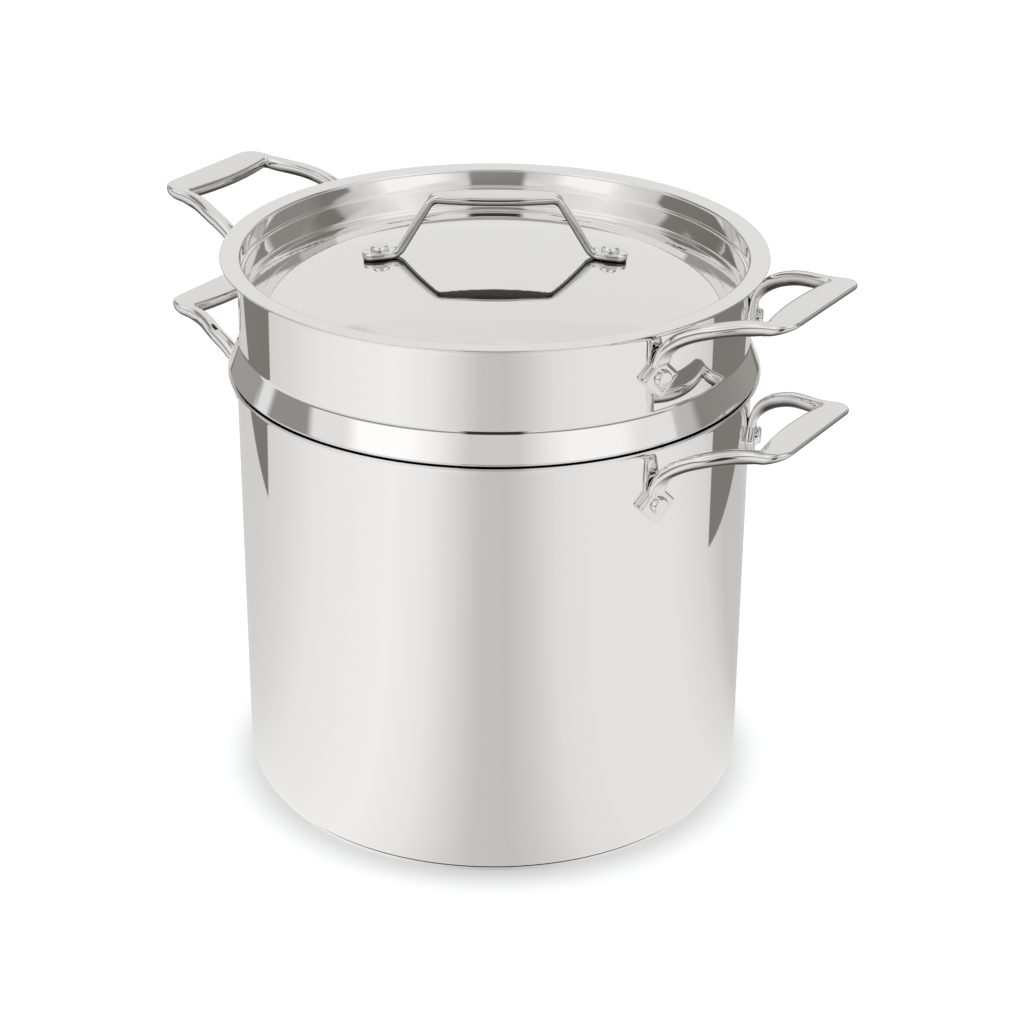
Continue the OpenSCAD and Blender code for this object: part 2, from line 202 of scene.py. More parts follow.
def looks_in(face: bpy.types.MeshPolygon) -> bool:
    """Returns whether a turned part's face looks towards the axis."""
    return face.normal.xy.dot(face.center.xy) / MM < -1


def join(name: str, pieces: Sequence[bpy.types.Object]) -> bpy.types.Object:
    """Joins pieces into the first of them and gives it a name.

    Args:
        name: The name of the result.
        pieces: The objects to join.

    Returns:
        The joined object.
    """
    with bpy.context.temp_override(active_object=pieces[0], selected_editable_objects=list(pieces)):
        bpy.ops.object.join()
    pieces[0].name = name
    return pieces[0]


def grown(obj: bpy.types.Object, tree: Tree, **values: object) -> bpy.types.Object:
    """Runs a Geometry Nodes tree on an object and keeps the result as its plain mesh.

    Args:
        obj: The object that carries the tree's starting mesh.
        tree: The tree.
        values: The tree's named inputs: lengths in millimetres, counts and the material.

    Returns:
        The same object with the new mesh and no modifier.
    """
    modifier = obj.modifiers.new("grow", "NODES")
    modifier.node_group = tree
    for item in tree.interface.items_tree:
        if item.in_out == "INPUT" and item.name in values:
            value = values[item.name]
            modifier[item.identifier] = value * MM if item.socket_type == "NodeSocketFloat" else value
    held = obj.evaluated_get(bpy.context.evaluated_depsgraph_get())
    mesh = bpy.data.meshes.new_from_object(held)
    obj.modifiers.remove(modifier)
    obj.data = mesh
    return obj


def new_tree(name: str, lengths: str = "", counts: str = "") -> tuple[Tree, bpy.types.NodeOutputs]:
    """Starts a Geometry Nodes tree that takes a geometry, a material and named numbers.

    Args:
        name: The tree's name.
        lengths: Names of the lengths that it takes.
        counts: Names of the whole numbers that it takes.

    Returns:
        The tree and what it takes, by name.
    """
    tree = bpy.data.node_groups.new(name, "GeometryNodeTree")
    kinds = {"Geometry": "Geometry", "Material": "Material"}
    kinds |= dict.fromkeys(lengths.split(), "Float") | dict.fromkeys(counts.split(), "Int")
    for key, kind in kinds.items():
        tree.interface.new_socket(key, in_out="INPUT", socket_type=f"NodeSocket{kind}")
    tree.interface.new_socket("Geometry", in_out="OUTPUT", socket_type="NodeSocketGeometry")
    return tree, tree.nodes.new("NodeGroupInput").outputs


def count_off(tree: Tree, size: Feed | float) -> tuple[bpy.types.Node, bpy.types.Node]:
    """Counts points off in rows.

    Args:
        tree: The tree.
        size: How many points a row has.

    Returns:
        The number of a point's row, and its number in the row.
    """
    index = add(tree, "GeometryNodeInputIndex")
    return add(tree, "FLOOR", add(tree, "DIVIDE", index, size)), add(tree, "FLOORED_MODULO", index, size)


def polar(tree: Tree, angle: Feed, reach: Feed) -> list[bpy.types.Node]:
    """Returns the X and the Y of what lies at an angle and a distance from the axis."""
    return [add(tree, "MULTIPLY", add(tree, wave, angle), reach) for wave in ("COSINE", "SINE")]


def end_tree(tree: Tree, geometry: Feed, material: Feed) -> None:
    """Ends a tree with real geometry and its material.

    Args:
        tree: The tree.
        geometry: The geometry so far.
        material: The material that it takes.
    """
    real = add(tree, "GeometryNodeRealizeInstances", geometry)
    dressed = add(tree, "GeometryNodeSetMaterial", real, {"Material": material})
    add(tree, "NodeGroupOutput", dressed)


def arc(centre: Point, rx: float, ry: float, start: float, end: float, steps: int = 12) -> list[Point]:
    """Returns points on an arc, from angle start to angle end in degrees."""
    turns = [math.radians(mix(start, end, i / steps)) for i in range(steps + 1)]
    return [(centre[0] + rx * math.cos(a), centre[1] + ry * math.sin(a)) for a in turns]


def shifted(path: Sequence[Point], distance: float) -> list[Point]:
    """Moves a path sideways, to its left where the distance is positive.

    Args:
        path: The path. A first point on the axis only moves up or down.
        distance: How far it moves.

    Returns:
        The moved path.
    """
    points = [Vector(p) for p in path]
    sides = []
    for a, b in zip(points, points[1:]):
        d = (b - a).normalized()
        sides.append(Vector((-d.y, d.x)))
    moved = []
    for i, p in enumerate(points):
        before, after = sides[max(i - 1, 0)], sides[min(i, len(sides) - 1)]
        middle = (before + after).normalized()
        moved.append(tuple(p + middle * distance / middle.dot(after)))
    if path[0][0] < 1e-6:
        moved[0] = (0.0, path[0][1] + distance)
    return moved


def supported(path: Sequence[Point], reach: float = 0.3, stride: float = 12) -> list[Point]:
    """Adds points to a path's long straight runs, so that a mirror finish doesn't bend at their ends.

    Args:
        path: The path.
        reach: Distance from each end of a run to its first added point.
        stride: The longest step along a run.

    Returns:
        The path with the added points.
    """
    result = [path[0]]
    for a, b in zip(path, path[1:]):
        length = math.dist(a, b)
        stops = []
        if length > 4 * reach:
            count = max(1, round(length / stride))
            stops = [reach / length] + [i / count for i in range(1, count)] + [1 - reach / length]
        result += [(mix(a[0], b[0], s), mix(a[1], b[1], s)) for s in stops] + [b]
    return result


def rolled_edge(outer: Point, inner: Point, steps: int = 6) -> list[Point]:
    """Rounds the cut edge of a sheet.

    Args:
        outer: The end of the sheet's outer face.
        inner: The end of its inner face.
        steps: Steps round the edge.

    Returns:
        The half round between the two ends.
    """
    a, b = Vector(outer), Vector(inner)
    centre, across = (a + b) / 2, (a - b) / 2
    along = Vector((across.y, -across.x))
    turns = [math.pi * i / steps for i in range(1, steps)]
    return [tuple(centre + across * math.cos(t) + along * math.sin(t)) for t in turns]


def turning_tree() -> Tree:
    """Builds the tree that spins a sheet's outline about the pot's axis.

    Returns:
        The tree. Its Geometry input is the outline's points, in order.
    """
    tree, given = new_tree("turned_sheet", counts="Segments Rows")
    segments, rows = given["Segments"], given["Rows"]
    columns = add(tree, "ADD", segments, 1)
    grid = add(tree, "GeometryNodeMeshGrid", {"Vertices X": columns, "Vertices Y": rows})
    column, row = count_off(tree, rows)
    swept = add(tree, "MULTIPLY", column, math.tau)
    turn = add(tree, "DIVIDE", swept, segments)
    place = add(
        tree,
        "GeometryNodeSampleIndex",
        {"Geometry": given["Geometry"], "Value": add(tree, "GeometryNodeInputPosition"), "Index": row},
        data_type="FLOAT_VECTOR",
    )
    spun = add(tree, "ShaderNodeVectorRotate", {"Vector": place, "Angle": turn, "Axis": (0, 0, 1)})
    turned = add(tree, "GeometryNodeSetPosition", grid, {"Position": spun})
    merged = add(tree, "GeometryNodeMergeByDistance", turned, {"Distance": TOUCHING * MM})
    end_tree(tree, merged, given["Material"])
    return tree


@dataclass
class Turner:
    """Spins outlines into sheet parts."""

    tree: Tree = field(default_factory=turning_tree)

    def spin(
        self, name: str, outline: Sequence[Point], material: bpy.types.Material, segments: int
    ) -> bpy.types.Object:
        """Spins one outline.

        Args:
            name: The object's name.
            outline: Radius and height of each point.
            material: The sheet's finish.
            segments: Steps round the axis.

        Returns:
            The turned object.
        """
        points = [(r, 0.0, z) for r, z in outline]
        obj = mesh_object(name, points)
        return grown(obj, self.tree, Segments=segments, Rows=len(points), Material=material)


def round_brush(tree: Tree, line: float, length: float) -> bpy.types.Node:
    """Draws fine lines that run round the pot's axis, as a spinning polish leaves them.

    Args:
        tree: The material's tree.
        line: Width of a line in millimetres.
        length: Length of a line in degrees.

    Returns:
        The lines' strength from 0 to 1.
    """
    x, y, z = add(tree, SPLIT, add(tree, "ShaderNodeTexCoord").outputs["Object"]).outputs
    radius = add(tree, "ShaderNodeVectorMath", add(tree, JOIN, x, y), operation="LENGTH")
    turn = add(tree, "ARCTAN2", y, x)
    ways = ((radius, 1 / (line * MM)), (turn, math.degrees(1) / length), (z, 1 / (line * MM)))
    drawn = add(tree, JOIN, *(add(tree, "MULTIPLY", way, scale) for way, scale in ways))
    return add(tree, "ShaderNodeTexNoise", {"Vector": drawn, "Scale": 1.0, "Detail": 2.0})


@dataclass(frozen=True)
class SteelFinish:
    """A stainless steel finish, from a mirror polish to a satin brush.

    Attributes:
        name: The material's name.
        colour: Its colour in sRGB hex.
        roughness: Its mean roughness.
        spread: How far the roughness strays from the mean.
        line: Width of a polishing line.
        length: Length of a polishing line in degrees.
        depth: Depth of the polishing lines.
        wave: Height of the surface's soft waves.
        wave_size: Width of those waves.
        edge_wear: How much brighter the rubbed edges are.
        painted_shade: Colour of the painted shade on undersides, if it has any.
        painted_shade_range: How far down a face looks where the painted shade starts and where it is full.
        worn: Colour of a rubbed edge.
        worn_range: Sharpness where an edge starts to be rubbed and where it is bare.
        smudge: Size of the faint marks of handling.
        lines_share: Share of the roughness's play that the lines have. The marks have the rest.
        marks_range: Values of lines and marks that give the least and the most roughness.
    """

    name: str
    colour: str
    roughness: float
    spread: float
    line: float
    length: float
    depth: float
    wave: float = 0.0
    wave_size: float = 40.0
    edge_wear: float = 0.0
    painted_shade: str = ""
    painted_shade_range: Point = (-0.12, 0.36)
    worn: str = "#F7F7F7"
    worn_range: Point = (0.52, 0.62)
    smudge: float = 30.0
    lines_share: float = 0.6
    marks_range: Point = (0.3, 0.7)

    def tint(self, tree: Tree) -> Feed | Colour:
        """Colours the steel, with painted shade on its undersides and rubbed edges where it has them.

        Args:
            tree: The material's tree.

        Returns:
            The colour, or what feeds it.
        """
        tint = linear(self.colour)
        if self.painted_shade:
            # Painted shade: faces that look down are darkened towards the painted shade colour, as far as the
            # attribute allows.
            facing = add(tree, SPLIT, add(tree, "ShaderNodeTexCoord").outputs["Normal"]).outputs["Z"]
            down = add(tree, "MULTIPLY", facing, -1.0)
            under = add(tree, RANGE, down, *self.painted_shade_range, interpolation_type="SMOOTHSTEP")
            reached = add(tree, "ShaderNodeAttribute", attribute_name=PAINTED_SHADE).outputs["Fac"]
            share = add(tree, "MULTIPLY", under, reached)
            tint = add(tree, MIX, {"Factor": share, "A": tint, "B": linear(self.painted_shade)}, data_type="RGBA")
        if self.edge_wear:
            sharp = add(tree, "ShaderNodeNewGeometry").outputs["Pointiness"]
            edge = add(tree, RANGE, sharp, *self.worn_range, 0.0, self.edge_wear)
            tint = add(tree, MIX, {"Factor": edge, "A": tint, "B": linear(self.worn)}, data_type="RGBA")
        return tint

    def material(self) -> bpy.types.Material:
        """Builds the finish.

        Returns:
            The material, with its polishing lines in the roughness and in the bump.
        """
        made = bpy.data.materials.new(self.name)
        tree = cleared(made)
        lines = round_brush(tree, self.line, self.length)
        place = add(tree, "ShaderNodeTexCoord").outputs["Object"]
        handling, swell = (
            add(tree, "ShaderNodeTexNoise", {"Vector": place, "Scale": 1 / (size * MM), "Detail": detail})
            for size, detail in ((self.smudge, 3.0), (self.wave_size, 1.0))
        )
        drawn = add(tree, "MULTIPLY", lines, self.lines_share)
        marks = add(tree, "MULTIPLY_ADD", handling, 1 - self.lines_share, drawn)
        limits = (max(0.0, self.roughness - self.spread), self.roughness + self.spread)
        rough = add(tree, RANGE, marks, *self.marks_range, *limits)
        grain = add(tree, "ShaderNodeBump", {"Strength": 1.0, "Distance": self.depth * MM, "Height": lines})
        waves = {"Strength": 1.0, "Distance": self.wave * MM, "Height": swell, "Normal": grain}
        bump = add(tree, "ShaderNodeBump", waves)
        shader = add(
            tree,
            "ShaderNodeBsdfPrincipled",
            {"Base Color": self.tint(tree), "Metallic": 1.0, "Roughness": rough, "Normal": bump},
        )
        add(tree, "ShaderNodeOutputMaterial", shader)
        return made


# Deep-drawn stainless sheet, buffed to a mirror: it shows the studio with hardly any blur.
MIRROR = SteelFinish(
    "stainless_mirror_polished", "#F3F2F1", roughness=0.035, spread=0.012, line=0.25, length=60,
    depth=0.00002, wave=0.004, wave_size=60,
)
# The inside of the vessels, brushed on the lathe: a soft grey sheen that follows the turning.
SATIN = SteelFinish(
    "stainless_satin_turned", "#CFCECC", roughness=0.24, spread=0.06, line=0.3, length=35, depth=0.0012
)
# Cast steel handles, tumbled and buffed by hand: slightly wavy, with brighter rubbed edges, and
# painted shade that darkens the faces which look down.
CAST = SteelFinish(
    "stainless_cast_buffed", "#EFEDEB", roughness=0.045, spread=0.02, line=0.4, length=8, depth=0.00004,
    wave=0.015, wave_size=14, edge_wear=0.3, painted_shade="#3F3A36",
)
# The plain aluminium disc that spreads the heat, with its rolled skin.
CORE = SteelFinish(
    "aluminium_rolled_plain", "#D4D6D8", roughness=0.35, spread=0.06, line=0.5, length=90, depth=0.001
)


@dataclass
class Flare:
    """The rolled-out rim that the pot and the insert share."""

    radius: float = 5.0
    turn: float = 84.0

    def centre(self, wall_r: float, top: float, wall: float) -> Point:
        """Returns the middle of the flare's round over a wall of radius wall_r, below height top."""
        rise = (self.radius + wall) * math.sin(math.radians(180 - self.turn))
        return wall_r + self.radius, top - rise

    def path(self, wall_r: float, top: float, wall: float) -> list[Point]:
        """Returns the outer surface of the flare over a wall of radius wall_r, below height top."""
        centre = self.centre(wall_r, top, wall)
        return arc(centre, self.radius, self.radius, 180, 180 - self.turn, 16)


@dataclass
class PotSizes:
    """Sizes of the pot and its base. Its inside is polished to the depth bright below the rim."""

    radius: float = 131.0
    height: float = 228.0
    wall: float = 1.0
    corner_w: float = 6.0
    corner_h: float = 11.0
    cap_radius: float = 126.0
    cap_wall: float = 0.6
    core: float = 3.0
    seam: float = 0.6
    bright: float = 12.0
    segments: int = 300

    @property
    def floor(self) -> float:
        """Height of the underside of the pot's own floor."""
        return self.cap_wall + self.core


@dataclass
class Pot:
    """The outer pot with its bonded base."""

    sizes: PotSizes
    turner: Turner
    mirror: bpy.types.Material
    satin: bpy.types.Material

    def shell(self) -> bpy.types.Object:
        """Builds the drawn shell, mirror outside and under the rim, and satin inside.

        Returns:
            The shell.
        """
        s = self.sizes
        path = supported(
            [(0.0, s.floor)]
            + arc((s.radius - s.corner_w, s.floor + s.corner_h), s.corner_w, s.corner_h, -90, 0)
            + Flare().path(s.radius, s.height, s.wall)
        )
        inner = shifted(path, s.wall)
        outline = path + rolled_edge(path[-1], inner[-1]) + inner[::-1]
        shell = self.turner.spin("pot_shell", outline, self.mirror, s.segments)
        settle(shell, [self.mirror, self.satin])
        lining = s.radius - s.wall / 2
        for face in shell.data.polygons:
            middle = face.center / MM
            inside = looks_in(face) or (face.normal.z > 0.5 and middle.xy.length < lining)
            if inside and middle.z < s.height - s.bright:
                face.material_index = 1
        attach(shell, Part.POT.value)
        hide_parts("pot_body")
        return shell

    def base(self) -> bpy.types.Object:
        """Builds the steel cap that holds the heat-spreading disc, with a bright round edge.

        Returns:
            The cap.
        """
        s = self.sizes
        depth = s.floor - s.seam
        path = supported([(0.0, 0.0)] + arc((s.cap_radius - depth, depth), depth, depth, -90, 0, 8))
        inner = shifted(path, s.cap_wall)
        cap = self.turner.spin("base_dish", path + inner[::-1], self.satin, s.segments)
        settle(cap, [self.satin, self.mirror])
        for face in cap.data.polygons:
            if face.center.xy.length > (s.cap_radius - depth) * MM:
                face.material_index = 1
        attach(cap, Part.POT.value)
        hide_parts("base_cap")
        return cap


@dataclass
class InsertSizes:
    """Sizes of the strainer insert.

    Its inside is polished to the depth bright below its rim, and its outside down to the depth hidden
    below the pot's rim.
    """

    radius: float = 129.0
    wall: float = 0.8
    rim: float = 286.3
    shoulder_h: float = 14.0
    shoulder_out: float = 5.4
    fold_r: float = 1.0
    bend_r: float = 3.5
    knee_r: float = 7.0
    basket_r: float = 126.5
    corner: float = 12.0
    bottom: float = 24.6
    seat_angle: float = 40.0
    seat_gap: float = 0.3
    hole: float = 5.0
    columns: int = 50
    rows: int = 9
    lowest_row: float = 50.0
    ring_pitch: float = 16.0
    rings: int = 6
    bright: float = 24.0
    hidden: float = 8.0
    segments: int = 300

    @property
    def pitch(self) -> float:
        """Distance from hole to hole, round the basket and up it."""
        return math.tau * self.basket_r / self.columns


def band_tree() -> Tree:
    """Builds the tree that wraps rows of square cells, each with one round hole, into a band.

    Returns:
        The tree. Every other row is shifted by half a cell, and the cells share their points.
    """
    tree, given = new_tree("perforated_band", "Radius Bottom Pitch Hole Thickness", "Columns Rows")
    pitch, radius = given["Pitch"], given["Radius"]
    # A strip of 24 steps round a hole, in four layers: in front the cell's edge and the hole's edge,
    # then behind the hole's edge and the cell's edge.
    cell = add(tree, "GeometryNodeMeshGrid", 1.0, 3.0, 25, 4)
    spot = add(tree, SPLIT, add(tree, "GeometryNodeInputPosition")).outputs
    around = add(tree, "MULTIPLY", add(tree, "ADD", spot[0], 0.5), 4.0)
    layer = add(tree, "ROUND", add(tree, "ADD", spot[1], 1.5))
    on_hole = add(tree, "COMPARE", layer, 1.5, 0.6)
    inside = add(tree, "GREATER_THAN", layer, 1.5)
    quarter = add(tree, "SUBTRACT", around, 0.5)
    turn = add(tree, "MULTIPLY", quarter, math.pi / 2)
    half, hole_r = (add(tree, "MULTIPLY", size, 0.5) for size in (pitch, given["Hole"]))
    flat = []
    for lag, wave in ((0.5, "COSINE"), (1.5, "SINE")):
        peak = add(tree, "PINGPONG", add(tree, "SUBTRACT", around, lag), 2.0)
        fall = add(tree, "MULTIPLY_ADD", peak, -2.0, 2.0)
        capped = add(tree, "MINIMUM", fall, 1.0)
        edge = add(tree, "MAXIMUM", capped, -1.0)
        square = add(tree, "MULTIPLY", edge, half)
        circle = add(tree, "MULTIPLY", add(tree, wave, turn), hole_r)
        swap = add(tree, "SUBTRACT", circle, square)
        flat.append(add(tree, "MULTIPLY_ADD", on_hole, swap, square))
    depth = add(tree, "MULTIPLY", inside, given["Thickness"])
    sunk = add(tree, "MULTIPLY", depth, -1.0)
    spread = add(tree, JOIN, flat[0], sunk, flat[1])
    shaped = add(tree, "GeometryNodeSetPosition", cell, {"Position": spread})
    row, column = count_off(tree, given["Columns"])
    odd = add(tree, "FLOORED_MODULO", row, 2.0)
    stepped = add(tree, "MULTIPLY_ADD", odd, 0.5, column)
    along = add(tree, "MULTIPLY", stepped, pitch)
    raised = add(tree, "ADD", row, 0.5)
    up = add(tree, "MULTIPLY_ADD", raised, pitch, given["Bottom"])
    count = add(tree, "MULTIPLY", given["Rows"], given["Columns"])
    points = add(tree, "GeometryNodePoints", count, add(tree, JOIN, along, {2: up}))
    cells = add(tree, "GeometryNodeInstanceOnPoints", points, {"Instance": shaped})
    here = add(tree, SPLIT, add(tree, "GeometryNodeInputPosition")).outputs
    angle = add(tree, "DIVIDE", here[0], radius)
    reach = add(tree, "ADD", here[1], radius)
    wrapped = add(tree, JOIN, *polar(tree, angle, reach), here[2])
    real = add(tree, "GeometryNodeRealizeInstances", cells)
    bent = add(tree, "GeometryNodeSetPosition", real, {"Position": wrapped})
    merged = add(tree, "GeometryNodeMergeByDistance", bent, {"Distance": TOUCHING * MM})
    end_tree(tree, merged, given["Material"])
    return tree


def plate_tree() -> Tree:
    """Builds the tree that pierces a round plate with rings of six, twelve, eighteen and more holes.

    Returns:
        The tree.
    """
    tree, given = new_tree("perforated_plate", "Radius Bottom Thickness Pitch Hole", "Rings Segments")
    rings, thickness = given["Rings"], given["Thickness"]
    plate = add(
        tree,
        "GeometryNodeMeshCylinder",
        {"Vertices": given["Segments"], "Radius": given["Radius"], "Depth": thickness},
    )
    index = add(tree, "GeometryNodeInputIndex")
    # One hole in the middle and six more in each next ring make 1 + 3 n (n + 1) holes within n rings.
    tripled = add(tree, "MULTIPLY", rings, 3.0)
    count = add(tree, "MULTIPLY_ADD", tripled, add(tree, "ADD", rings, 1.0), 1.0)
    root = add(tree, "SQRT", add(tree, "MULTIPLY_ADD", index, 12.0, 9.0))
    reached = add(tree, "DIVIDE", add(tree, "SUBTRACT", root, 3.0), 6.0)
    ring = add(tree, "CEIL", add(tree, "SUBTRACT", reached, 0.001))
    inner = add(tree, "SUBTRACT", ring, 1.0)
    before = add(tree, "MULTIPLY", add(tree, "MULTIPLY", ring, 3.0), inner)
    step = add(tree, "SUBTRACT", add(tree, "SUBTRACT", index, 1.0), before)
    swept = add(tree, "MULTIPLY", step, math.tau / 6)
    turn = add(tree, "DIVIDE", swept, add(tree, "MAXIMUM", ring, 1.0))
    reach = add(tree, "MULTIPLY", ring, given["Pitch"])
    points = add(tree, "GeometryNodePoints", count, add(tree, JOIN, *polar(tree, turn, reach)))
    radius = add(tree, "MULTIPLY", given["Hole"], 0.5)
    depth = add(tree, "MULTIPLY", thickness, 3.0)
    drill = add(tree, "GeometryNodeMeshCylinder", {"Vertices": 24, "Radius": radius, "Depth": depth})
    drills = add(tree, "GeometryNodeInstanceOnPoints", points, {"Instance": drill})
    real = add(tree, "GeometryNodeRealizeInstances", drills)
    cut = {"operation": "DIFFERENCE", "solver": "EXACT"}
    pierced = add(tree, "GeometryNodeMeshBoolean", {"Mesh 1": plate, "Mesh 2": real}, **cut)
    middle = add(tree, "MULTIPLY_ADD", thickness, 0.5, given["Bottom"])
    lifted = add(tree, "GeometryNodeTransform", pierced, {"Translation": add(tree, JOIN, {2: middle})})
    end_tree(tree, lifted, given["Material"])
    return tree


@dataclass
class Insert:
    """The strainer insert: rim, wall, shoulder, seat and perforated basket in one drawn sheet."""

    sizes: InsertSizes
    pot: PotSizes
    turner: Turner
    mirror: bpy.types.Material
    satin: bpy.types.Material

    def upper_path(self, band_top: float) -> list[Point]:
        """Returns the outer surface from the top of the perforated band to the rim.

        Args:
            band_top: Height of the band's upper edge.

        Returns:
            The path, from the band up.
        """
        s, flare = self.sizes, Flare()
        centre = flare.centre(self.pot.radius, self.pot.height, self.pot.wall)
        seat_r = flare.radius + self.pot.wall + s.seat_gap
        lean = 180 - math.degrees(math.atan2(s.shoulder_h, s.shoulder_out))
        seat_sin, lean_sin = (math.sin(math.radians(angle)) for angle in (s.seat_angle, lean))
        seat_cos, lean_cos = (math.cos(math.radians(angle)) for angle in (s.seat_angle, lean))
        seat_tan = math.tan(math.radians(s.seat_angle))
        seat = (centre[0] - seat_r * seat_sin, centre[1] + seat_r * seat_cos)
        fold_x = s.radius + s.shoulder_out - s.fold_r
        start_x = fold_x + s.fold_r * seat_sin
        fold_z = seat[1] + (start_x - seat[0]) * seat_tan + s.fold_r * seat_cos
        start = (fold_x + s.fold_r * lean_sin, fold_z - s.fold_r * lean_cos)
        run = (s.radius + s.knee_r * (1 - lean_sin) - start[0]) / lean_cos
        knee = start[1] + run * lean_sin - s.knee_r * lean_cos
        neck_x = s.basket_r + s.bend_r * (1 - seat_sin)
        neck = seat[1] + (neck_x - seat[0]) * seat_tan - s.bend_r * seat_cos
        return (
            [(s.basket_r, band_top)]
            + arc((s.basket_r + s.bend_r, neck), s.bend_r, s.bend_r, 180, 90 + s.seat_angle)
            + arc((fold_x, fold_z), s.fold_r, s.fold_r, s.seat_angle - 90, lean - 90, 16)
            + arc((s.radius + s.knee_r, knee), s.knee_r, s.knee_r, 90 + lean, 180)
            + flare.path(s.radius, s.rim, s.wall)
        )

    def shell(self) -> bpy.types.Object:
        """Builds the whole insert as one sheet with its holes, mirror outside where it is seen.

        Returns:
            The insert.
        """
        s = self.sizes
        band_top = s.lowest_row + s.rows * s.pitch
        upper = supported(self.upper_path(band_top))
        inner = shifted(upper, s.wall)
        inner[0] = (s.basket_r - s.wall, band_top)
        outline = upper + rolled_edge(upper[-1], inner[-1]) + inner[::-1]
        plate_r = s.basket_r - s.corner
        lower = supported(
            [(plate_r, s.bottom)]
            + arc((plate_r, s.bottom + s.corner), s.corner, s.corner, -90, 0)[1:]
            + [(s.basket_r, s.lowest_row)]
        )
        lining = shifted(lower, s.wall)
        lining[0], lining[-1] = (plate_r, s.bottom + s.wall), (s.basket_r - s.wall, s.lowest_row)
        sheet = {"Hole": s.hole, "Thickness": s.wall, "Material": self.mirror}
        band = {"Radius": s.basket_r, "Bottom": s.lowest_row, "Columns": s.columns, "Rows": s.rows}
        plate = {"Radius": plate_r, "Bottom": s.bottom, "Rings": s.rings, "Segments": s.segments}
        pieces = [
            self.turner.spin("insert_top", outline, self.mirror, s.segments),
            self.turner.spin("insert_foot", lining[::-1] + lower, self.mirror, s.segments),
            grown(mesh_object("insert_band"), band_tree(), **sheet, **band, Pitch=s.pitch),
            grown(mesh_object("insert_plate"), plate_tree(), **sheet, **plate, Pitch=s.ring_pitch),
        ]
        shell = join("insert_shell", pieces)
        settle(shell, [self.mirror, self.satin], 45)
        for face in shell.data.polygons:
            z = face.center.z / MM
            satin = z < s.rim - s.bright and (looks_in(face) or z < self.pot.height - s.hidden)
            face.material_index = int(satin)
        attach(shell, Part.INSERT.value)
        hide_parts("insert_body")
        return shell


@dataclass
class LidSizes:
    """Sizes of the lid."""

    radius: float = 137.3
    wall: float = 0.8
    wall_r: float = 127.0
    step_r: float = 125.5
    top: float = 287.4
    step_depth: float = 9.4
    depth: float = 20.9
    crown: float = 18.0
    bend: float = 1.5
    rise: float = 0.3
    fillet: float = 1.6
    step_bend: float = 1.0
    crown_steps: int = 60
    segments: int = 320
    turn: float = 33.0
    spread: float = 114.6

    @property
    def crown_r(self) -> float:
        """Radius of the crown's foot."""
        return self.step_r - self.fillet

    def height(self, x: float) -> float:
        """Returns the height of the crown at distance x from the axis."""
        s = abs(x) / self.crown_r
        return self.top - self.depth + self.crown * (1 - 0.5 * s**2 - 0.5 * s**4)

    def slope(self, x: float) -> float:
        """Returns the slope of the crown at distance x, in radians."""
        s = x / self.crown_r
        return math.atan(-2 * self.crown / self.crown_r * (0.5 * s + s**3))


@dataclass
class Lid:
    """The sunk lid with its crown, narrow step and flange."""

    sizes: LidSizes
    turner: Turner
    mirror: bpy.types.Material
    satin: bpy.types.Material

    def shell(self) -> bpy.types.Object:
        """Builds the drawn lid, mirror on top and satin beneath.

        Returns:
            The lid.
        """
        s = self.sizes
        step_r, step_z = s.step_r + s.step_bend, s.top - s.step_depth
        lip = s.wall_r - step_r
        crown = [s.crown_r * i / s.crown_steps for i in range(s.crown_steps + 1)]
        path = supported(
            [(x, s.height(x)) for x in crown]
            + arc((s.crown_r, s.top - s.depth + s.fillet), s.fillet, s.fillet, -70, 0)
            + arc((step_r, step_z - s.step_bend), s.step_bend, s.step_bend, 180, 90, 8)
            + arc((step_r, step_z + lip), lip, lip, -80, 0, 8)
            + arc((s.wall_r + s.bend, s.top - s.bend), s.bend, s.bend, 180, 90)
            + [(s.radius - s.wall / 2, s.top + s.rise)],
            stride=8,
        )
        under = shifted(path, -s.wall)
        # The half round is made for the other hand here, so it is turned out over the sheet's end.
        end = path[-1][0]
        edge = [(max(r, 2 * end - r), z) for r, z in rolled_edge(path[-1], under[-1])]
        shell = self.turner.spin("lid_shell", path + edge + under[::-1], self.mirror, s.segments)
        settle(shell, [self.mirror, self.satin])
        for face in shell.data.polygons:
            if face.normal.z < -0.2:
                face.material_index = 1
        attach(shell, Part.LID.value)
        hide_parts("lid_body")
        return shell


@dataclass
class Section:
    """One cross-section of a handle: flat on top, with round sides of their own thickness."""

    top: Vector
    half: Vector
    up: Vector
    inner_t: float
    outer_t: float
    squareness: float = 0.75

    def ring(self, side_steps: int = 10, face_steps: int = 5) -> Ring:
        """Returns the section's points, from its outer side over the top and back under.

        Args:
            side_steps: Steps round each side.
            face_steps: Steps across the top and across the underside.

        Returns:
            The closed ring of points.
        """
        width = self.half.length
        across = self.half / width
        caps = {}
        for sign, t in ((1, self.outer_t), (-1, self.inner_t)):
            reach = min(t / 2, width * 0.9)
            turns = [math.pi / 2 - math.pi * i / side_steps for i in range(side_steps + 1)]
            caps[sign] = [
                self.top
                + across * sign * (width - reach + reach * abs(math.cos(a)) ** self.squareness)
                + self.up * (t / 2 * (math.copysign(abs(math.sin(a)) ** self.squareness, math.sin(a)) - 1))
                for a in turns
            ]
        outer, inner = caps[1], caps[-1][::-1]
        under = [outer[-1].lerp(inner[0], i / face_steps) for i in range(1, face_steps)]
        over = [inner[-1].lerp(outer[0], i / face_steps) for i in range(1, face_steps)]
        return outer + under + inner + over


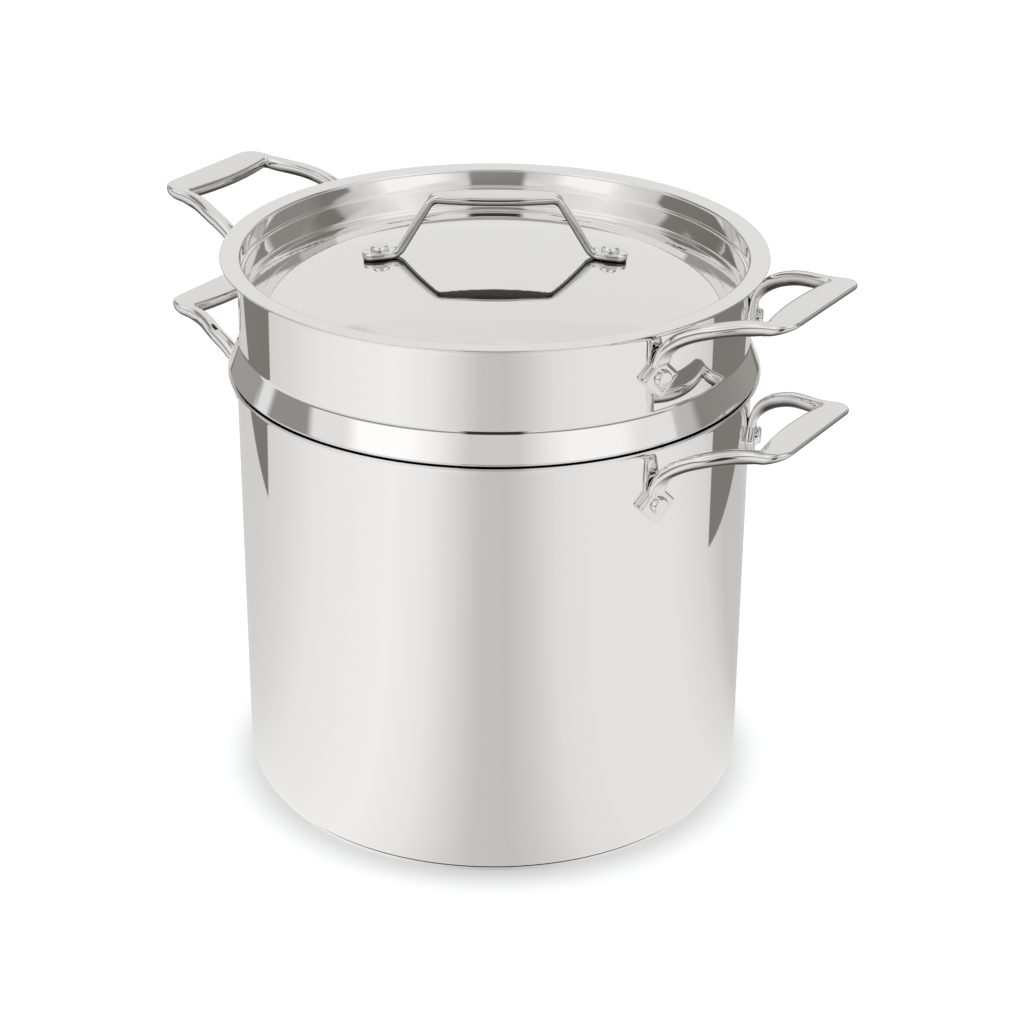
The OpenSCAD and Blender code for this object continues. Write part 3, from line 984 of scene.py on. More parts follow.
def loft(name: str, rings: Sequence[Ring], painted_shade: Sequence[float] = ()) -> bpy.types.Object:
    """Skins a row of rings and closes both ends.

    Args:
        name: The object's name.
        rings: Rings with the same number of points.
        painted_shade: How far each ring's underside takes painted shade, if at all.

    Returns:
        The closed mesh object.
    """
    size = len(rings[0])
    points = [p for ring in rings for p in ring]
    faces = []
    for i in range(len(rings) - 1):
        for k in range(size):
            a, b = i * size + k, i * size + (k + 1) % size
            faces.append((a, b, b + size, a + size))
    for at, ring in ((0, rings[0]), ((len(rings) - 1) * size, rings[-1])):
        middle = sum(ring, Vector()) / size
        points.append(middle)
        faces += [(at + k, at + (k + 1) % size, len(points) - 1) for k in range(size)]
    obj = mesh_object(name, points, faces)
    if painted_shade:
        kept = obj.data.attributes.new(PAINTED_SHADE, "FLOAT", "POINT")
        kept.data.foreach_set("value", [k for k in painted_shade for _ in range(size)] + [painted_shade[0], painted_shade[-1]])
    return obj


def bezier(p: Sequence[Vector], t: float) -> Vector:
    """Returns the point at share t of the curve with four control points p."""
    q = 1 - t
    return q**3 * p[0] + 3 * t * q * q * p[1] + 3 * t * t * q * p[2] + t**3 * p[3]


@dataclass
class SideHandleSizes:
    """Sizes of a side handle, with heights from its rivets. Starts and steps count its sections."""

    wall_r: float
    spread: float
    rivet_z: float
    reach: float = 184.4
    rise: float = 34.2
    tilt: float = 4.0
    grip_w: float = 19.0
    grip_l: float = 77.0
    inner_t: float = 6.4
    edge_t: float = 2.6
    corner: float = 10.0
    bow: float = 3.2
    arm_w: float = 7.2
    arm_t: float = 7.0
    pad: float = 15.2
    pad_t: float = 4.0
    pad_round: float = 2.0
    root_z: float = 5.5
    root_out: float = 0.8
    root_w: float = 9.7
    lead_in: float = 26.0
    slot_v: float = 32.6
    slot_fillet: float = 1.2
    arm_edge: float = 0.7
    grip_edge: float = 0.8
    arm_steps: int = 60
    join_steps: int = 26
    thin_start: int = 19
    thin_steps: int = 22
    painted_shade_start: int = 6
    painted_shade_steps: int = 20

    @property
    def turn(self) -> float:
        """Angle of a rivet from the handle's middle, in radians."""
        return math.asin(self.spread / 2 / self.wall_r)

    @property
    def arm_x(self) -> float:
        """Distance from the axis to the ends of the grip's slot."""
        return self.reach - self.grip_w + self.bow

    @property
    def pad_rings(self) -> tuple[Point, ...]:
        """Inset and height of each ring of a pad, from the wall out."""
        t = self.pad_t
        return (0.4, 0.05), (0.0, 0.5), (0.0, t - 1.0), (0.3, t - 0.35), (0.9, t), (3.0, t + 0.05)


@dataclass
class SideHandle:
    """A cast side handle: two pads, two arms and a flat grip between them."""

    sizes: SideHandleSizes
    name: str
    node: str
    side: Side
    part: Part
    steel: bpy.types.Material

    def plane(self, u: float) -> float:
        """Returns the height of the grip's upper face at distance u from the axis."""
        s = self.sizes
        return s.rise + (u - (s.reach - s.grip_w / 2)) * math.tan(math.radians(s.tilt))

    def curve(self) -> list[Vector]:
        """Lays the curve of an arm.

        Returns:
            Its four control points, from its pad to the grip.
        """
        s = self.sizes
        root_r = s.wall_r + s.pad_t / 2
        root = Vector((root_r * math.cos(s.turn), root_r * math.sin(s.turn), s.root_z))
        tip_x, lead_x = s.arm_x + s.arm_w / 2, root.x + 2 * s.arm_w
        tip = Vector((tip_x, (s.grip_l - s.arm_w) / 2, self.plane(tip_x) - s.arm_t / 2))
        lead = Vector((lead_x, root.y, self.plane(lead_x) - s.arm_t / 2))
        return [root, Vector((root.x + s.root_out, root.y, root.z + (tip.z - root.z) / 2)), lead, tip]

    def arm(self) -> list[Section]:
        """Lays the sections of one arm.

        Returns:
            The sections, from inside its pad to the start of the grip.
        """
        s = self.sizes
        p = self.curve()
        runs = [b - a for a, b in zip(p, p[1:])]
        start = Vector((-math.sin(s.turn), math.cos(s.turn), 0))
        sections = []
        for i in range(s.arm_steps + 1):
            t = i / s.arm_steps
            q = 1 - t
            place = bezier(p, t)
            if place.x > s.arm_x - s.lead_in:
                break
            along = (q * q * runs[0] + 2 * t * q * runs[1] + t * t * runs[2]).normalized()
            up = along.cross(start.lerp(Vector((0, 1, 0)), t)).normalized()
            grow = ease(2 * t)
            half, thick = mix(s.root_w, s.arm_w, grow) / 2, mix(s.pad_t, s.arm_t, grow)
            across = up.cross(along) * half
            sections.append(Section(place + up * thick / 2, across, up, thick, thick, s.arm_edge))
        return sections

    def on_plane(self, u: float, v: float) -> Vector:
        """Returns the point of the grip's upper face over a place in plan."""
        return Vector((u, v, self.plane(u)))

    def bridge(self, start: Vector, along: Vector, end: Vector) -> list[Vector]:
        """Returns points on a smooth curve from a point of the arm to a point of the grip.

        Args:
            start: Where it leaves the arm.
            along: The arm's direction there.
            end: Where it meets the grip, running outwards in the grip's plane.

        Returns:
            The points after the first one.
        """
        reach, steps = (end - start).length / 3, self.sizes.join_steps
        outwards = Vector((1, 0, math.tan(math.radians(self.sizes.tilt)))).normalized()
        points = (start, start + along * reach, end - outwards * reach, end)
        return [bezier(points, i / steps) for i in range(1, steps + 1)]

    def outlines(self, last: Section, along: Vector) -> tuple[list[Vector], list[Vector]]:
        """Returns matching points on the slot's side and on the outer side of half the grip.

        Args:
            last: The arm's last section.
            along: The arm's direction there.

        Returns:
            The slot's side and the outer side, from the arm to the grip's middle.
        """
        s = self.sizes
        fillet, turns, run = s.slot_fillet, 16, 20
        slot_x, end_v = s.arm_x - fillet, s.slot_v - fillet
        corner_c = (s.reach - s.corner, s.grip_l / 2 - s.corner)
        slot = self.bridge(last.top - last.half, along, self.on_plane(slot_x, s.slot_v))
        outer = self.bridge(last.top + last.half, along, self.on_plane(corner_c[0] - 4, s.grip_l / 2))
        slot += [self.on_plane(*p) for p in arc((slot_x, end_v), fillet, fillet, 90, 0, turns)[1:]]
        outer.append(self.on_plane(corner_c[0] - 2, s.grip_l / 2))
        outer += [self.on_plane(*p) for p in arc(corner_c, s.corner, s.corner, 90, 0, turns - 2)]
        for i in range(1, run + 1):
            v = mix(end_v, 0.0, i / run)
            slot.append(self.on_plane(mix(s.reach - s.grip_w, s.arm_x, (v / end_v) ** 2), v))
            outer.append(self.on_plane(s.reach, mix(corner_c[1], 0.0, i / run)))
        return slot, outer

    def grip(self, arm: list[Section]) -> list[Section]:
        """Lays the sections of half the grip.

        Args:
            arm: The sections of the arm that it grows from.

        Returns:
            The sections, from the end of the arm to the grip's middle.
        """
        s = self.sizes
        last = arm[-1]
        along = (last.top - arm[-2].top).normalized()
        sections = []
        for i, (inner, outer) in enumerate(zip(*self.outlines(last, along))):
            joined, share = ease((i + 1) / s.join_steps), ease((i - s.thin_start) / s.thin_steps)
            half = (outer - inner) / 2
            forward = Vector((0, 0, 1)).cross(half).normalized()
            up = half.cross(forward).normalized()
            up = last.up.lerp(up if up.z > 0 else -up, joined).normalized()
            inner_t, outer_t = (mix(s.arm_t, t, share) for t in (s.inner_t, s.edge_t))
            edge = mix(s.arm_edge, s.grip_edge, share)
            sections.append(Section((inner + outer) / 2, half, up, inner_t, outer_t, edge))
        return sections

    def pad(self, end: int) -> bpy.types.Object:
        """Builds the square pad at one end, standing on its corner and fitted to the wall.

        Args:
            end: 1 or -1.

        Returns:
            The pad as a closed mesh.
        """
        s = self.sizes
        diagonal = math.sqrt(2)
        rings = []
        for inset, depth in s.pad_rings:
            round_r = max(0.6, s.pad_round - inset)
            reach = s.pad / diagonal - inset * diagonal - round_r * diagonal
            ring = []
            for angle in (0, 90, 180, 270):
                turn = math.radians(angle)
                middle = (reach * math.cos(turn), reach * math.sin(turn))
                for x, y in arc(middle, round_r, round_r, angle - 45, angle + 45, 8):
                    sag = math.sqrt(s.wall_r**2 - x * x) - s.wall_r if depth < 1 else 0.0
                    ring.append(self.on_wall(Vector((x, y, depth + sag)), end))
            rings.append(ring)
        return loft("pad", rings)

    def on_wall(self, p: Vector, end: int) -> Vector:
        """Returns the place of a point given along the wall, up it and out of it at one rivet."""
        turn = Matrix.Rotation(end * self.sizes.turn, 3, "Z")
        return turn @ Vector((self.sizes.wall_r + p.z, p.x, p.y))

    def build(self) -> bpy.types.Object:
        """Builds the handle in one casting on its own side of the pot.

        Returns:
            The handle.
        """
        s = self.sizes
        arm = self.arm()
        rings = [section.ring() for section in arm + self.grip(arm)]
        mirrored = [[Vector((p.x, -p.y, p.z)) for p in ring] for ring in rings]
        # Painted shade on the undersides: none at the pads, full from partway along each arm to the grip.
        painted_shade = [ease((i - s.painted_shade_start) / s.painted_shade_steps) for i in range(len(rings))]
        handle = loft(self.name, rings + mirrored[::-1][1:], painted_shade + painted_shade[::-1][1:])
        obj = join(self.name, [handle, self.pad(1), self.pad(-1)])
        raised = Matrix.Translation((0, 0, s.rivet_z * MM))
        obj.data.transform(raised @ Matrix.Rotation(math.radians(self.side.value), 4, "Z"))
        settle(obj, [self.steel], 50)
        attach(obj, self.part.value)
        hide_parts(self.node)
        return obj


@dataclass
class LidHandle:
    """The arched handle on the lid: two riveted feet, two sloping arms and a bowed bar."""

    lid: LidSizes
    steel: bpy.types.Material
    foot_past: float = 9.0
    foot_bend: float = 9.0
    foot_w: float = 11.0
    foot_flat: float = 2.0
    neck: float = 5.0
    neck_l: float = 8.0
    arm_w: float = 7.5
    thick: float = 4.1
    bar_rise: float = 29.4
    bar_l: float = 63.0
    bar_w: float = 15.0
    bar_t: float = 4.8
    bar_start: float = 1.5
    bar_ease: float = 4.0
    bend: float = 4.6
    edge: float = 0.65
    foot_steps: int = 22
    bar_steps: int = 16

    def bent(self, a: Vector, b: Vector, c: Vector, steps: int = 10) -> list[Vector]:
        """Bends the strap's middle line round a corner.

        Args:
            a: A point before the corner.
            b: The corner.
            c: A point past the corner.
            steps: Steps round the bend.

        Returns:
            The points of the bend.
        """
        r = self.bend + self.thick / 2
        to_a, to_c = (a - b).normalized(), (c - b).normalized()
        half = to_a.angle(to_c) / 2
        centre = b + (to_a + to_c).normalized() * r / math.sin(half)
        first, last = (b + way * r / math.tan(half) - centre for way in (to_a, to_c))
        return [centre + first.slerp(last, i / steps).normalized() * r for i in range(steps + 1)]

    def on_crown(self, x: float) -> Vector:
        """Returns the place of the strap's middle line where it lies on the lid at distance x."""
        slope, lift = self.lid.slope(x), self.thick / 2 + 0.05
        return Vector((lift * math.sin(slope) - x, self.lid.height(x) + lift * math.cos(slope)))

    def path(self) -> list[Vector]:
        """Lays the middle line of half the handle.

        Returns:
            Its points, from the foot to the middle of the bar.
        """
        rivet, steps = self.lid.spread / 2, self.foot_steps
        ends = (rivet + self.foot_past, rivet - self.foot_flat)
        foot = [self.on_crown(mix(*ends, i / steps)) for i in range(steps + 1)]
        heel = self.on_crown(rivet - self.foot_bend)
        bar_z = self.lid.height(rivet) + self.bar_rise + self.thick / 2
        corner, middle = Vector((-self.bar_l / 2, bar_z)), Vector((0, bar_z))
        line = foot + self.bent(foot[-1], heel, corner) + self.bent(heel, corner, middle)
        last, steps = line[-1].x, self.bar_steps
        return line + [Vector((mix(last, 0.0, i / steps), bar_z)) for i in range(1, steps + 1)]

    def build(self) -> bpy.types.Object:
        """Builds the handle as one bent strap.

        Returns:
            The handle.
        """
        line = self.path()
        half_l, end_r = self.bar_l / 2, self.foot_w / 2
        rings = []
        for i, p in enumerate(line):
            ahead, behind = line[min(i + 1, len(line) - 1)], line[max(i - 1, 0)]
            along = (ahead - behind).normalized()
            up = Vector((-along.y, 0, along.x))
            from_tip = p.x - line[0].x
            if from_tip < end_r:
                width = math.sqrt(max(0.01, end_r**2 - (end_r - from_tip) ** 2))
            else:
                width = mix(end_r, self.arm_w / 2, ease((from_tip - end_r - self.neck) / self.neck_l))
            width += (self.bar_w - self.arm_w) / 2 * max(0.0, 1 - (p.x / half_l) ** 2)
            bar = ease((half_l + self.bar_start - abs(p.x)) / self.bar_ease)
            thick = mix(self.thick, self.bar_t, bar)
            top = Vector((p.x, 0, p.y)) + up * (thick - self.thick) / 2 + up * thick / 2
            side = min(thick, 2 * width)
            rings.append(Section(top, Vector((0, width, 0)), up, side, side, self.edge).ring())
        mirrored = [[Vector((-p.x, p.y, p.z)) for p in ring] for ring in rings]
        # The whole strap takes painted shade on its undersides.
        obj = loft("lid_grip", rings + mirrored[::-1][1:], [1.0] * (2 * len(rings) - 1))
        obj.data.transform(Matrix.Rotation(math.radians(self.lid.turn), 4, "Z"))
        settle(obj, [self.steel], 50)
        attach(obj, Part.LID.value)
        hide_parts("lid_handle")
        return obj


def rivet_tree() -> Tree:
    """Builds the tree that sets a rivet on each point, with its dome along the point's direction.

    Returns:
        The tree. Its Geometry input is the points, with a vector attribute named out.
    """
    tree, given = new_tree("rivets", "Head Flat Height Shank Grip Wall Tail")
    head, flat, height, shank, grip, wall, tail = (
        given[name] for name in ("Head", "Flat", "Height", "Shank", "Grip", "Wall", "Tail")
    )
    rows, columns, dome_rows = 20, 41, 13
    grid = add(tree, "GeometryNodeMeshGrid", 1.0, 1.0, columns, rows)
    column, row = count_off(tree, float(rows))
    turn = add(tree, "MULTIPLY", column, math.tau / (columns - 1))
    left = add(tree, "SUBTRACT", float(dome_rows), row)
    share = add(tree, "DIVIDE", left, float(dome_rows - 1))
    rise = add(tree, "MINIMUM", add(tree, "MULTIPLY", share, math.pi / 2), math.pi / 2)
    rim = add(tree, "SUBTRACT", head, flat)
    radius = add(tree, "MULTIPLY_ADD", add(tree, "COSINE", rise), rim, flat)
    level = add(tree, "MULTIPLY_ADD", add(tree, "SINE", rise), height, grip)
    radius = add(tree, "MULTIPLY", radius, add(tree, "GREATER_THAN", row, 0.5))
    back = add(tree, "MULTIPLY", wall, -1.0)
    far = add(tree, "SUBTRACT", back, tail)
    chamfer, lip = (add(tree, "MULTIPLY", head, size) for size in (0.94, 0.5))
    stops = ((shank, grip), (shank, back), (head, back), (chamfer, far), (lip, far), (0.0, far))
    for at, (r, z) in enumerate(stops, dome_rows + 1):
        here = add(tree, "COMPARE", row, float(at), 0.1)
        rest = add(tree, "SUBTRACT", 1.0, here)
        kept = [add(tree, "MULTIPLY", way, rest) for way in (radius, level)]
        radius, level = (add(tree, "MULTIPLY_ADD", here, stop, way) for stop, way in zip((r, z), kept))
    place = add(tree, JOIN, *polar(tree, turn, radius), level)
    turned = add(tree, "GeometryNodeSetPosition", grid, {"Position": place})
    rivet = add(tree, "GeometryNodeMergeByDistance", turned, {"Distance": TOUCHING / 2 * MM})
    out = add(tree, "GeometryNodeInputNamedAttribute", {"Name": "out"}, data_type="FLOAT_VECTOR")
    aim = add(tree, "FunctionNodeAlignRotationToVector", {"Vector": out}, axis="Z")
    points = add(tree, "GeometryNodeMeshToPoints", {"Mesh": given["Geometry"]})
    placed = add(tree, "GeometryNodeInstanceOnPoints", points, {"Instance": rivet, "Rotation": aim})
    end_tree(tree, placed, given["Material"])
    return tree


@dataclass
class Riveter:
    """Sets all the rivets of one body at once."""

    steel: bpy.types.Material
    head_r: float = 4.7
    flat_r: float = 3.3
    height: float = 2.7
    shank_r: float = 2.5
    tail: float = 1.4
    gap: float = 0.05
    tree: Tree = field(default_factory=rivet_tree)

    def set(self, name: str, part: Part, places: Places, grip: float, wall: float) -> bpy.types.Object:
        """Sets rivets through one body.

        Args:
            name: The name of the piece.
            part: The body that they ride on.
            places: CAD node name to the rivet's place on the outer face of the sheet and its direction.
            grip: Thickness of what the head holds down.
            wall: Thickness of the sheet.

        Returns:
            The rivets as one mesh.
        """
        seeds = mesh_object(name, [place for place, _ in places.values()])
        out = seeds.data.attributes.new("out", "FLOAT_VECTOR", "POINT")
        for i, (_, direction) in enumerate(places.values()):
            out.data[i].vector = direction
        head = {"Head": self.head_r, "Flat": self.flat_r, "Height": self.height}
        body = {"Shank": self.shank_r, "Grip": grip + self.gap, "Wall": wall + self.gap, "Tail": self.tail}
        obj = grown(seeds, self.tree, **head, **body, Material=self.steel)
        settle(obj, [self.steel], 55)
        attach(obj, part.value)
        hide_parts(*places)
        return obj

    def side_places(self, vessel: str, handle: SideHandleSizes) -> Places:
        """Places the four rivets of a vessel's two side handles.

        Args:
            vessel: The vessel's name.
            handle: Sizes of its handles.

        Returns:
            CAD node name to place and direction.
        """
        places = {}
        for side in Side:
            for end in (-1, 1):
                a = math.radians(side.value) + end * handle.turn
                out = Vector((math.cos(a), math.sin(a), 0))
                front = "front" if (end < 0) == (side is Side.RIGHT) else "back"
                node = f"{vessel}_rivet_{side.name.lower()}_{front}"
                places[node] = (out * handle.wall_r + Vector((0, 0, handle.rivet_z)), out)
        return places

    def lid_places(self, lid: LidSizes) -> Places:
        """Places the two rivets of the lid's handle.

        Args:
            lid: The lid's sizes.

        Returns:
            CAD node name to place and direction.
        """
        places = {}
        x, turn = lid.spread / 2, Matrix.Rotation(math.radians(lid.turn), 3, "Z")
        for side, sign in ((Side.LEFT, -1), (Side.RIGHT, 1)):
            out = Vector((-sign * math.sin(lid.slope(x)), 0, math.cos(lid.slope(x))))
            node = f"lid_rivet_{side.name.lower()}"
            places[node] = (turn @ Vector((sign * x, 0, lid.height(x))), turn @ out)
        return places


def shown(grey: float) -> Colour:
    """Returns the dimmed light that polished steel shows as a grey.

    Args:
        grey: From 0 to 255, or a little more for light that is stronger than white.

    Returns:
        The light's colour, a little warm where it is not bright.
    """
    warmth = 7 * (1 - grey / 255) if grey < 210 else 0.0
    return (*(channel((grey + k * warmth) / 255) / POLISH / DIMMED for k in (1, 0, -1)), 1.0)


@dataclass(frozen=True)
class Tones:
    """Greys that the steel shows by direction: degrees to the right of the camera, then 0 to 255."""

    stops: tuple[Point, ...]

    def ramp(self, tree: Tree, share: Feed) -> bpy.types.Node:
        """Draws the tones round the pot.

        Args:
            tree: The tree.
            share: The direction, from 0 behind the pot over a half at the camera's side to 1.

        Returns:
            The tone's dimmed light.
        """
        node = add(tree, "ShaderNodeValToRGB", share)
        elements = node.color_ramp.elements
        while len(elements) > 1:
            elements.remove(elements[-1])
        for i, (at, grey) in enumerate(self.stops):
            stop = elements[0] if i == 0 else elements.new((at + 180) / 360)
            stop.position = (at + 180) / 360
            stop.color = shown(grey)
        return node


# What stands round the pot, in layers from the horizon up. The darker room shows on both sides.
ROOM = Tones(
    (
        (-180, 223), (-154, 223), (-151, 152), (-104, 155), (-101, 223), (-14, 223), (-11, 50), (11, 50),
        (14, 223), (80, 225), (82, 186), (104, 186), (107, 149), (151, 140), (155, 223), (180, 223),
    )
)
# The room's dark foot, a thin band at the horizon that draws fine lines along every bend.
HORIZON = Tones(
    (
        (-180, 150), (-118, 150), (-115, 222), (-109, 222), (-106, 140), (-15, 135), (-11, 45), (11, 45),
        (15, 135), (75, 135), (79, 185), (91, 180), (95, 130), (180, 150),
    )
)
# Two wide softboxes, to the left and the right of the camera.
WINDOWS = Tones(
    (
        (-180, 221), (-122, 223), (-116, 200), (-78, 200), (-68, 235), (-60, 254), (-36, 254), (-24, 237),
        (-10, 202), (10, 202), (24, 232), (32, 244), (54, 243), (66, 225), (76, 195), (84, 190),
        (87, 158), (92, 158), (100, 188), (117, 192), (120, 223), (180, 221),
    )
)
SIDES = Tones(
    (
        (-180, 221), (-158, 222), (-153, 125), (-148, 112), (-126, 120), (-101, 120), (-98, 208), (-88, 218),
        (-45, 226), (-20, 198), (20, 198), (42, 227), (66, 225), (85, 214), (88, 126), (104, 122),
        (116, 138), (150, 138), (155, 221), (180, 221),
    )
)
CEILING = Tones(
    (
        (-180, 218), (-164, 220), (-158, 178), (-130, 166), (-125, 119), (-112, 123), (-109, 198), (-92, 214),
        (-74, 238), (-68, 258), (-42, 257), (-34, 228), (-19, 204), (-16, 134), (14, 142), (17, 212),
        (28, 240), (35, 257), (65, 256), (72, 231), (88, 202), (99, 178), (103, 118), (116, 120),
        (126, 146), (151, 158), (155, 200), (161, 217), (180, 217),
    )
)
UPPER = Tones(
    (
        (-180, 217), (-156, 216), (-90, 220), (-72, 240), (-50, 229), (-19, 226), (-16, 130), (14, 132),
        (17, 220), (40, 224), (62, 247), (76, 226), (104, 204), (130, 184), (150, 222), (180, 224),
    )
)
TOP = Tones(
    (
        (-180, 222), (-90, 226), (-50, 215), (-30, 192), (30, 192), (50, 218), (90, 226), (180, 222),
    )
)
# The layers over the room, with the height in degrees where each one starts.
LAYERS = ((12, WINDOWS), (22, SIDES), (40, CEILING), (50, UPPER), (61, TOP))
# The white board that the pot stands on, and the ground past it.
# The board's darker fan in front of the pot is a painted shadow of the pot from the two softboxes.
BOARD = Tones(
    (
        (-180, 200), (-135, 202), (-115, 206), (-95, 216), (-75, 230), (-40, 238), (-25, 230), (-14, 212),
        (-5, 194), (4, 191), (13, 203), (24, 221), (40, 227), (75, 226), (95, 214), (110, 194),
        (130, 192), (150, 200), (180, 200),
    )
)
GROUND = Tones(
    (
        (-180, 222), (-154, 222), (-151, 150), (-118, 150), (-115, 222), (-15, 218), (-11, 50), (11, 50),
        (15, 218), (80, 224), (83, 110), (130, 145), (152, 148), (156, 222), (180, 222),
    )
)


@dataclass
class Studio:
    """White floor and surroundings, with a few darker openings that the steel mirrors.

    Attributes:
        camera_at: Place of the camera in metres.
        lens: Focal length for a picture 36 mm wide.
        pan, tilt, roll: The camera's angles in radians.
        turn: Angle from the pot's axes to the studio's, in degrees.
        foot: Radius round the pot within which the floor's glow is dimmed, a painted shadow.
        shade: Width over which that painted shadow fades out.
        blur: How softly one layer of tones passes into the next.
        horizon: Heights of a direction between which the room's dark foot ends.
        right_edge, left_edge: The board's edge: its distance out in metres, the distance back where
            it has it, and its slope.
        right_near, left_near: Near side of the dark ground: its distance back, the distance out
            where it has it, and its slope.
        dark: Grey of the dark ground.
        board: Radius where the board ends in front.
        board_cut: How much sooner it ends at the back.
        paper: Colour of the floor.
        glow: Colour of the floor's own light.
        glow_share: Share of that light in what the camera sees.
        glow_past_shadow: How much stronger that light is past the painted shadow.
        ambient: Strength of the light on everything that isn't polished.
    """

    camera_at: Line = (0.6568296, -1.0114346, 0.7201777)
    lens: float = 89.5735
    pan: float = 0.007833359
    tilt: float = 0.447557719
    roll: float = 0.007260582
    turn: float = 33.0
    foot: float = 122.0
    shade: float = 30.0
    blur: float = 0.012
    horizon: Point = (0.125, 0.14)
    right_edge: Line = (0.400, 0.070, 0.0)
    left_edge: Line = (0.440, 0.150, 0.1)
    right_near: Line = (0.054, 0.404, 0.42)
    left_near: Line = (0.136, 0.442, 0.47)
    dark: float = 118.0
    board: float = 1.25
    board_cut: float = 0.25
    paper: str = "#F3F3F3"
    glow: str = "#FDFEFF"
    glow_share: float = 0.35
    glow_past_shadow: float = 0.7
    ambient: float = 0.9

    def camera(self) -> None:
        """Sets the camera where the photograph was taken from."""
        flat, drop = math.cos(self.tilt), -math.sin(self.tilt)
        ahead = Vector((math.sin(self.pan) * flat, math.cos(self.pan) * flat, drop))
        right = Vector((math.cos(self.pan), -math.sin(self.pan), 0))
        up = right.cross(ahead)
        c, s = math.cos(self.roll), math.sin(self.roll)
        swing = Matrix.Rotation(math.radians(self.turn), 3, "Z")
        axes = [swing @ axis for axis in (c * right + s * up, c * up - s * right, -ahead)]
        pose = Matrix(axes).transposed().to_4x4()
        pose.translation = Vector(self.camera_at)
        data = bpy.data.cameras.new("camera")
        data.lens, data.sensor_width = self.lens, 36.0
        data.clip_start, data.clip_end = 0.01, 50.0
        eye = bpy.data.objects.new("camera", data)
        bpy.context.scene.collection.objects.link(eye)
        eye.matrix_world = pose
        bpy.context.scene.camera = eye

    def around(self, tree: Tree, place: Feed) -> tuple[Feed, ...]:
        """Turns a place or direction to the studio's own axes.

        Args:
            tree: The tree.
            place: The place or direction.

        Returns:
            Its share of a turn round the pot, then its X to the right, Y away from the camera's side and Z.
        """
        swing = {"Vector": place, "Axis": (0, 0, 1), "Angle": -math.radians(self.turn)}
        x, y, z = add(tree, SPLIT, add(tree, "ShaderNodeVectorRotate", swing)).outputs
        back = add(tree, "MULTIPLY", y, -1.0)
        angle = add(tree, "ARCTAN2", x, back)
        return add(tree, "MULTIPLY_ADD", angle, 1 / math.tau, 0.5), x, y, z

    def by_ray(self, tree: Tree, lit: Feed, mirrored: Feed, seen: Feed) -> bpy.types.Node:
        """Shows one shader to what it lights, one to the polished steel and one to the camera.

        Args:
            tree: The tree.
            lit: What lights the rest.
            mirrored: What the polished steel shows.
            seen: What the camera sees.

        Returns:
            The three as one shader.
        """
        rays = add(tree, "ShaderNodeLightPath").outputs
        steel = add(tree, "MAXIMUM", rays["Is Glossy Ray"], rays["Is Transmission Ray"])
        first = add(tree, "ShaderNodeMixShader", steel, lit, mirrored)
        return add(tree, "ShaderNodeMixShader", rays["Is Camera Ray"], first, seen)

    def world(self) -> None:
        """Makes the surroundings white to the eye, toned by direction in the steel, and a soft light."""
        world = bpy.data.worlds.new("studio")
        bpy.context.scene.world = world
        tree = cleared(world)
        share, _, _, z = self.around(tree, add(tree, "ShaderNodeTexCoord").outputs["Generated"])
        low = add(tree, RANGE, z, *self.horizon, 1.0, 0.0)
        bounces = add(tree, "ShaderNodeLightPath").outputs["Glossy Depth"]
        direct = add(tree, "LESS_THAN", bounces, 1.5)
        foot = add(tree, "MULTIPLY", low, direct)
        room, horizon = ROOM.ramp(tree, share), HORIZON.ramp(tree, share)
        tone = add(tree, MIX, {"Factor": foot, "A": room, "B": horizon}, data_type="RGBA")
        for level, tones in LAYERS:
            edge = math.sin(math.radians(level))
            above = add(tree, RANGE, z, edge - self.blur, edge + self.blur)
            feeds = {"Factor": above, "A": tone, "B": tones.ramp(tree, share)}
            tone = add(tree, MIX, feeds, data_type="RGBA")
        white = linear("#FFFFFF")
        lights = ((white, self.ambient), (tone, DIMMED), (white, 1.0))
        shaders = [add(tree, "ShaderNodeBackground", colour, strength) for colour, strength in lights]
        add(tree, "ShaderNodeOutputWorld", self.by_ray(tree, *shaders))

    def beyond(self, tree: Tree, out: Feed, y: Feed, edge: Line, near: Line) -> bpy.types.Node:
        """Marks the dark ground past the white board on one side.

        Args:
            tree: The tree.
            out: Place out to that side, in metres.
            y: Place away from the camera's side, in metres.
            edge: The board's edge.
            near: The dark ground's near side.

        Returns:
            One where the ground is dark.
        """
        marks = []
        for place, along, (value, at, slope) in ((out, y, edge), (y, out, near)):
            past = add(tree, "SUBTRACT", along, at)
            limit = add(tree, "MULTIPLY_ADD", past, slope, value)
            marks.append(add(tree, "GREATER_THAN", place, limit))
        return add(tree, "MULTIPLY", *marks)

    def floor(self) -> None:
        """Builds the white floor, which keeps the pot's soft shadow, deepened by a painted shadow round its
        foot.
        """
        size = 6000
        corners = [(-size, -size, 0), (size, -size, 0), (size, size, 0), (-size, size, 0)]
        floor = mesh_object("studio_floor", corners, [(0, 1, 2, 3)])
        made = bpy.data.materials.new("studio_paper")
        tree = cleared(made)
        share, x, y, _ = self.around(tree, add(tree, "ShaderNodeTexCoord").outputs["Object"])
        left = add(tree, "MULTIPLY", x, -1.0)
        marks = (
            self.beyond(tree, x, y, self.right_edge, self.right_near),
            self.beyond(tree, left, y, self.left_edge, self.left_near),
        )
        sides = add(tree, "MAXIMUM", *marks)
        feeds = {"Factor": sides, "A": BOARD.ramp(tree, share), "B": shown(self.dark)}
        near = add(tree, MIX, feeds, data_type="RGBA")
        reach = add(tree, "ShaderNodeVectorMath", add(tree, JOIN, x, y), operation="LENGTH")
        behind = add(tree, "GREATER_THAN", y, 0.0)
        reach_back = add(tree, "MULTIPLY_ADD", behind, self.board_cut, reach)
        far = add(tree, "GREATER_THAN", reach_back, self.board)
        feeds = {"Factor": far, "A": near, "B": GROUND.ramp(tree, share)}
        ground = add(tree, MIX, feeds, data_type="RGBA")
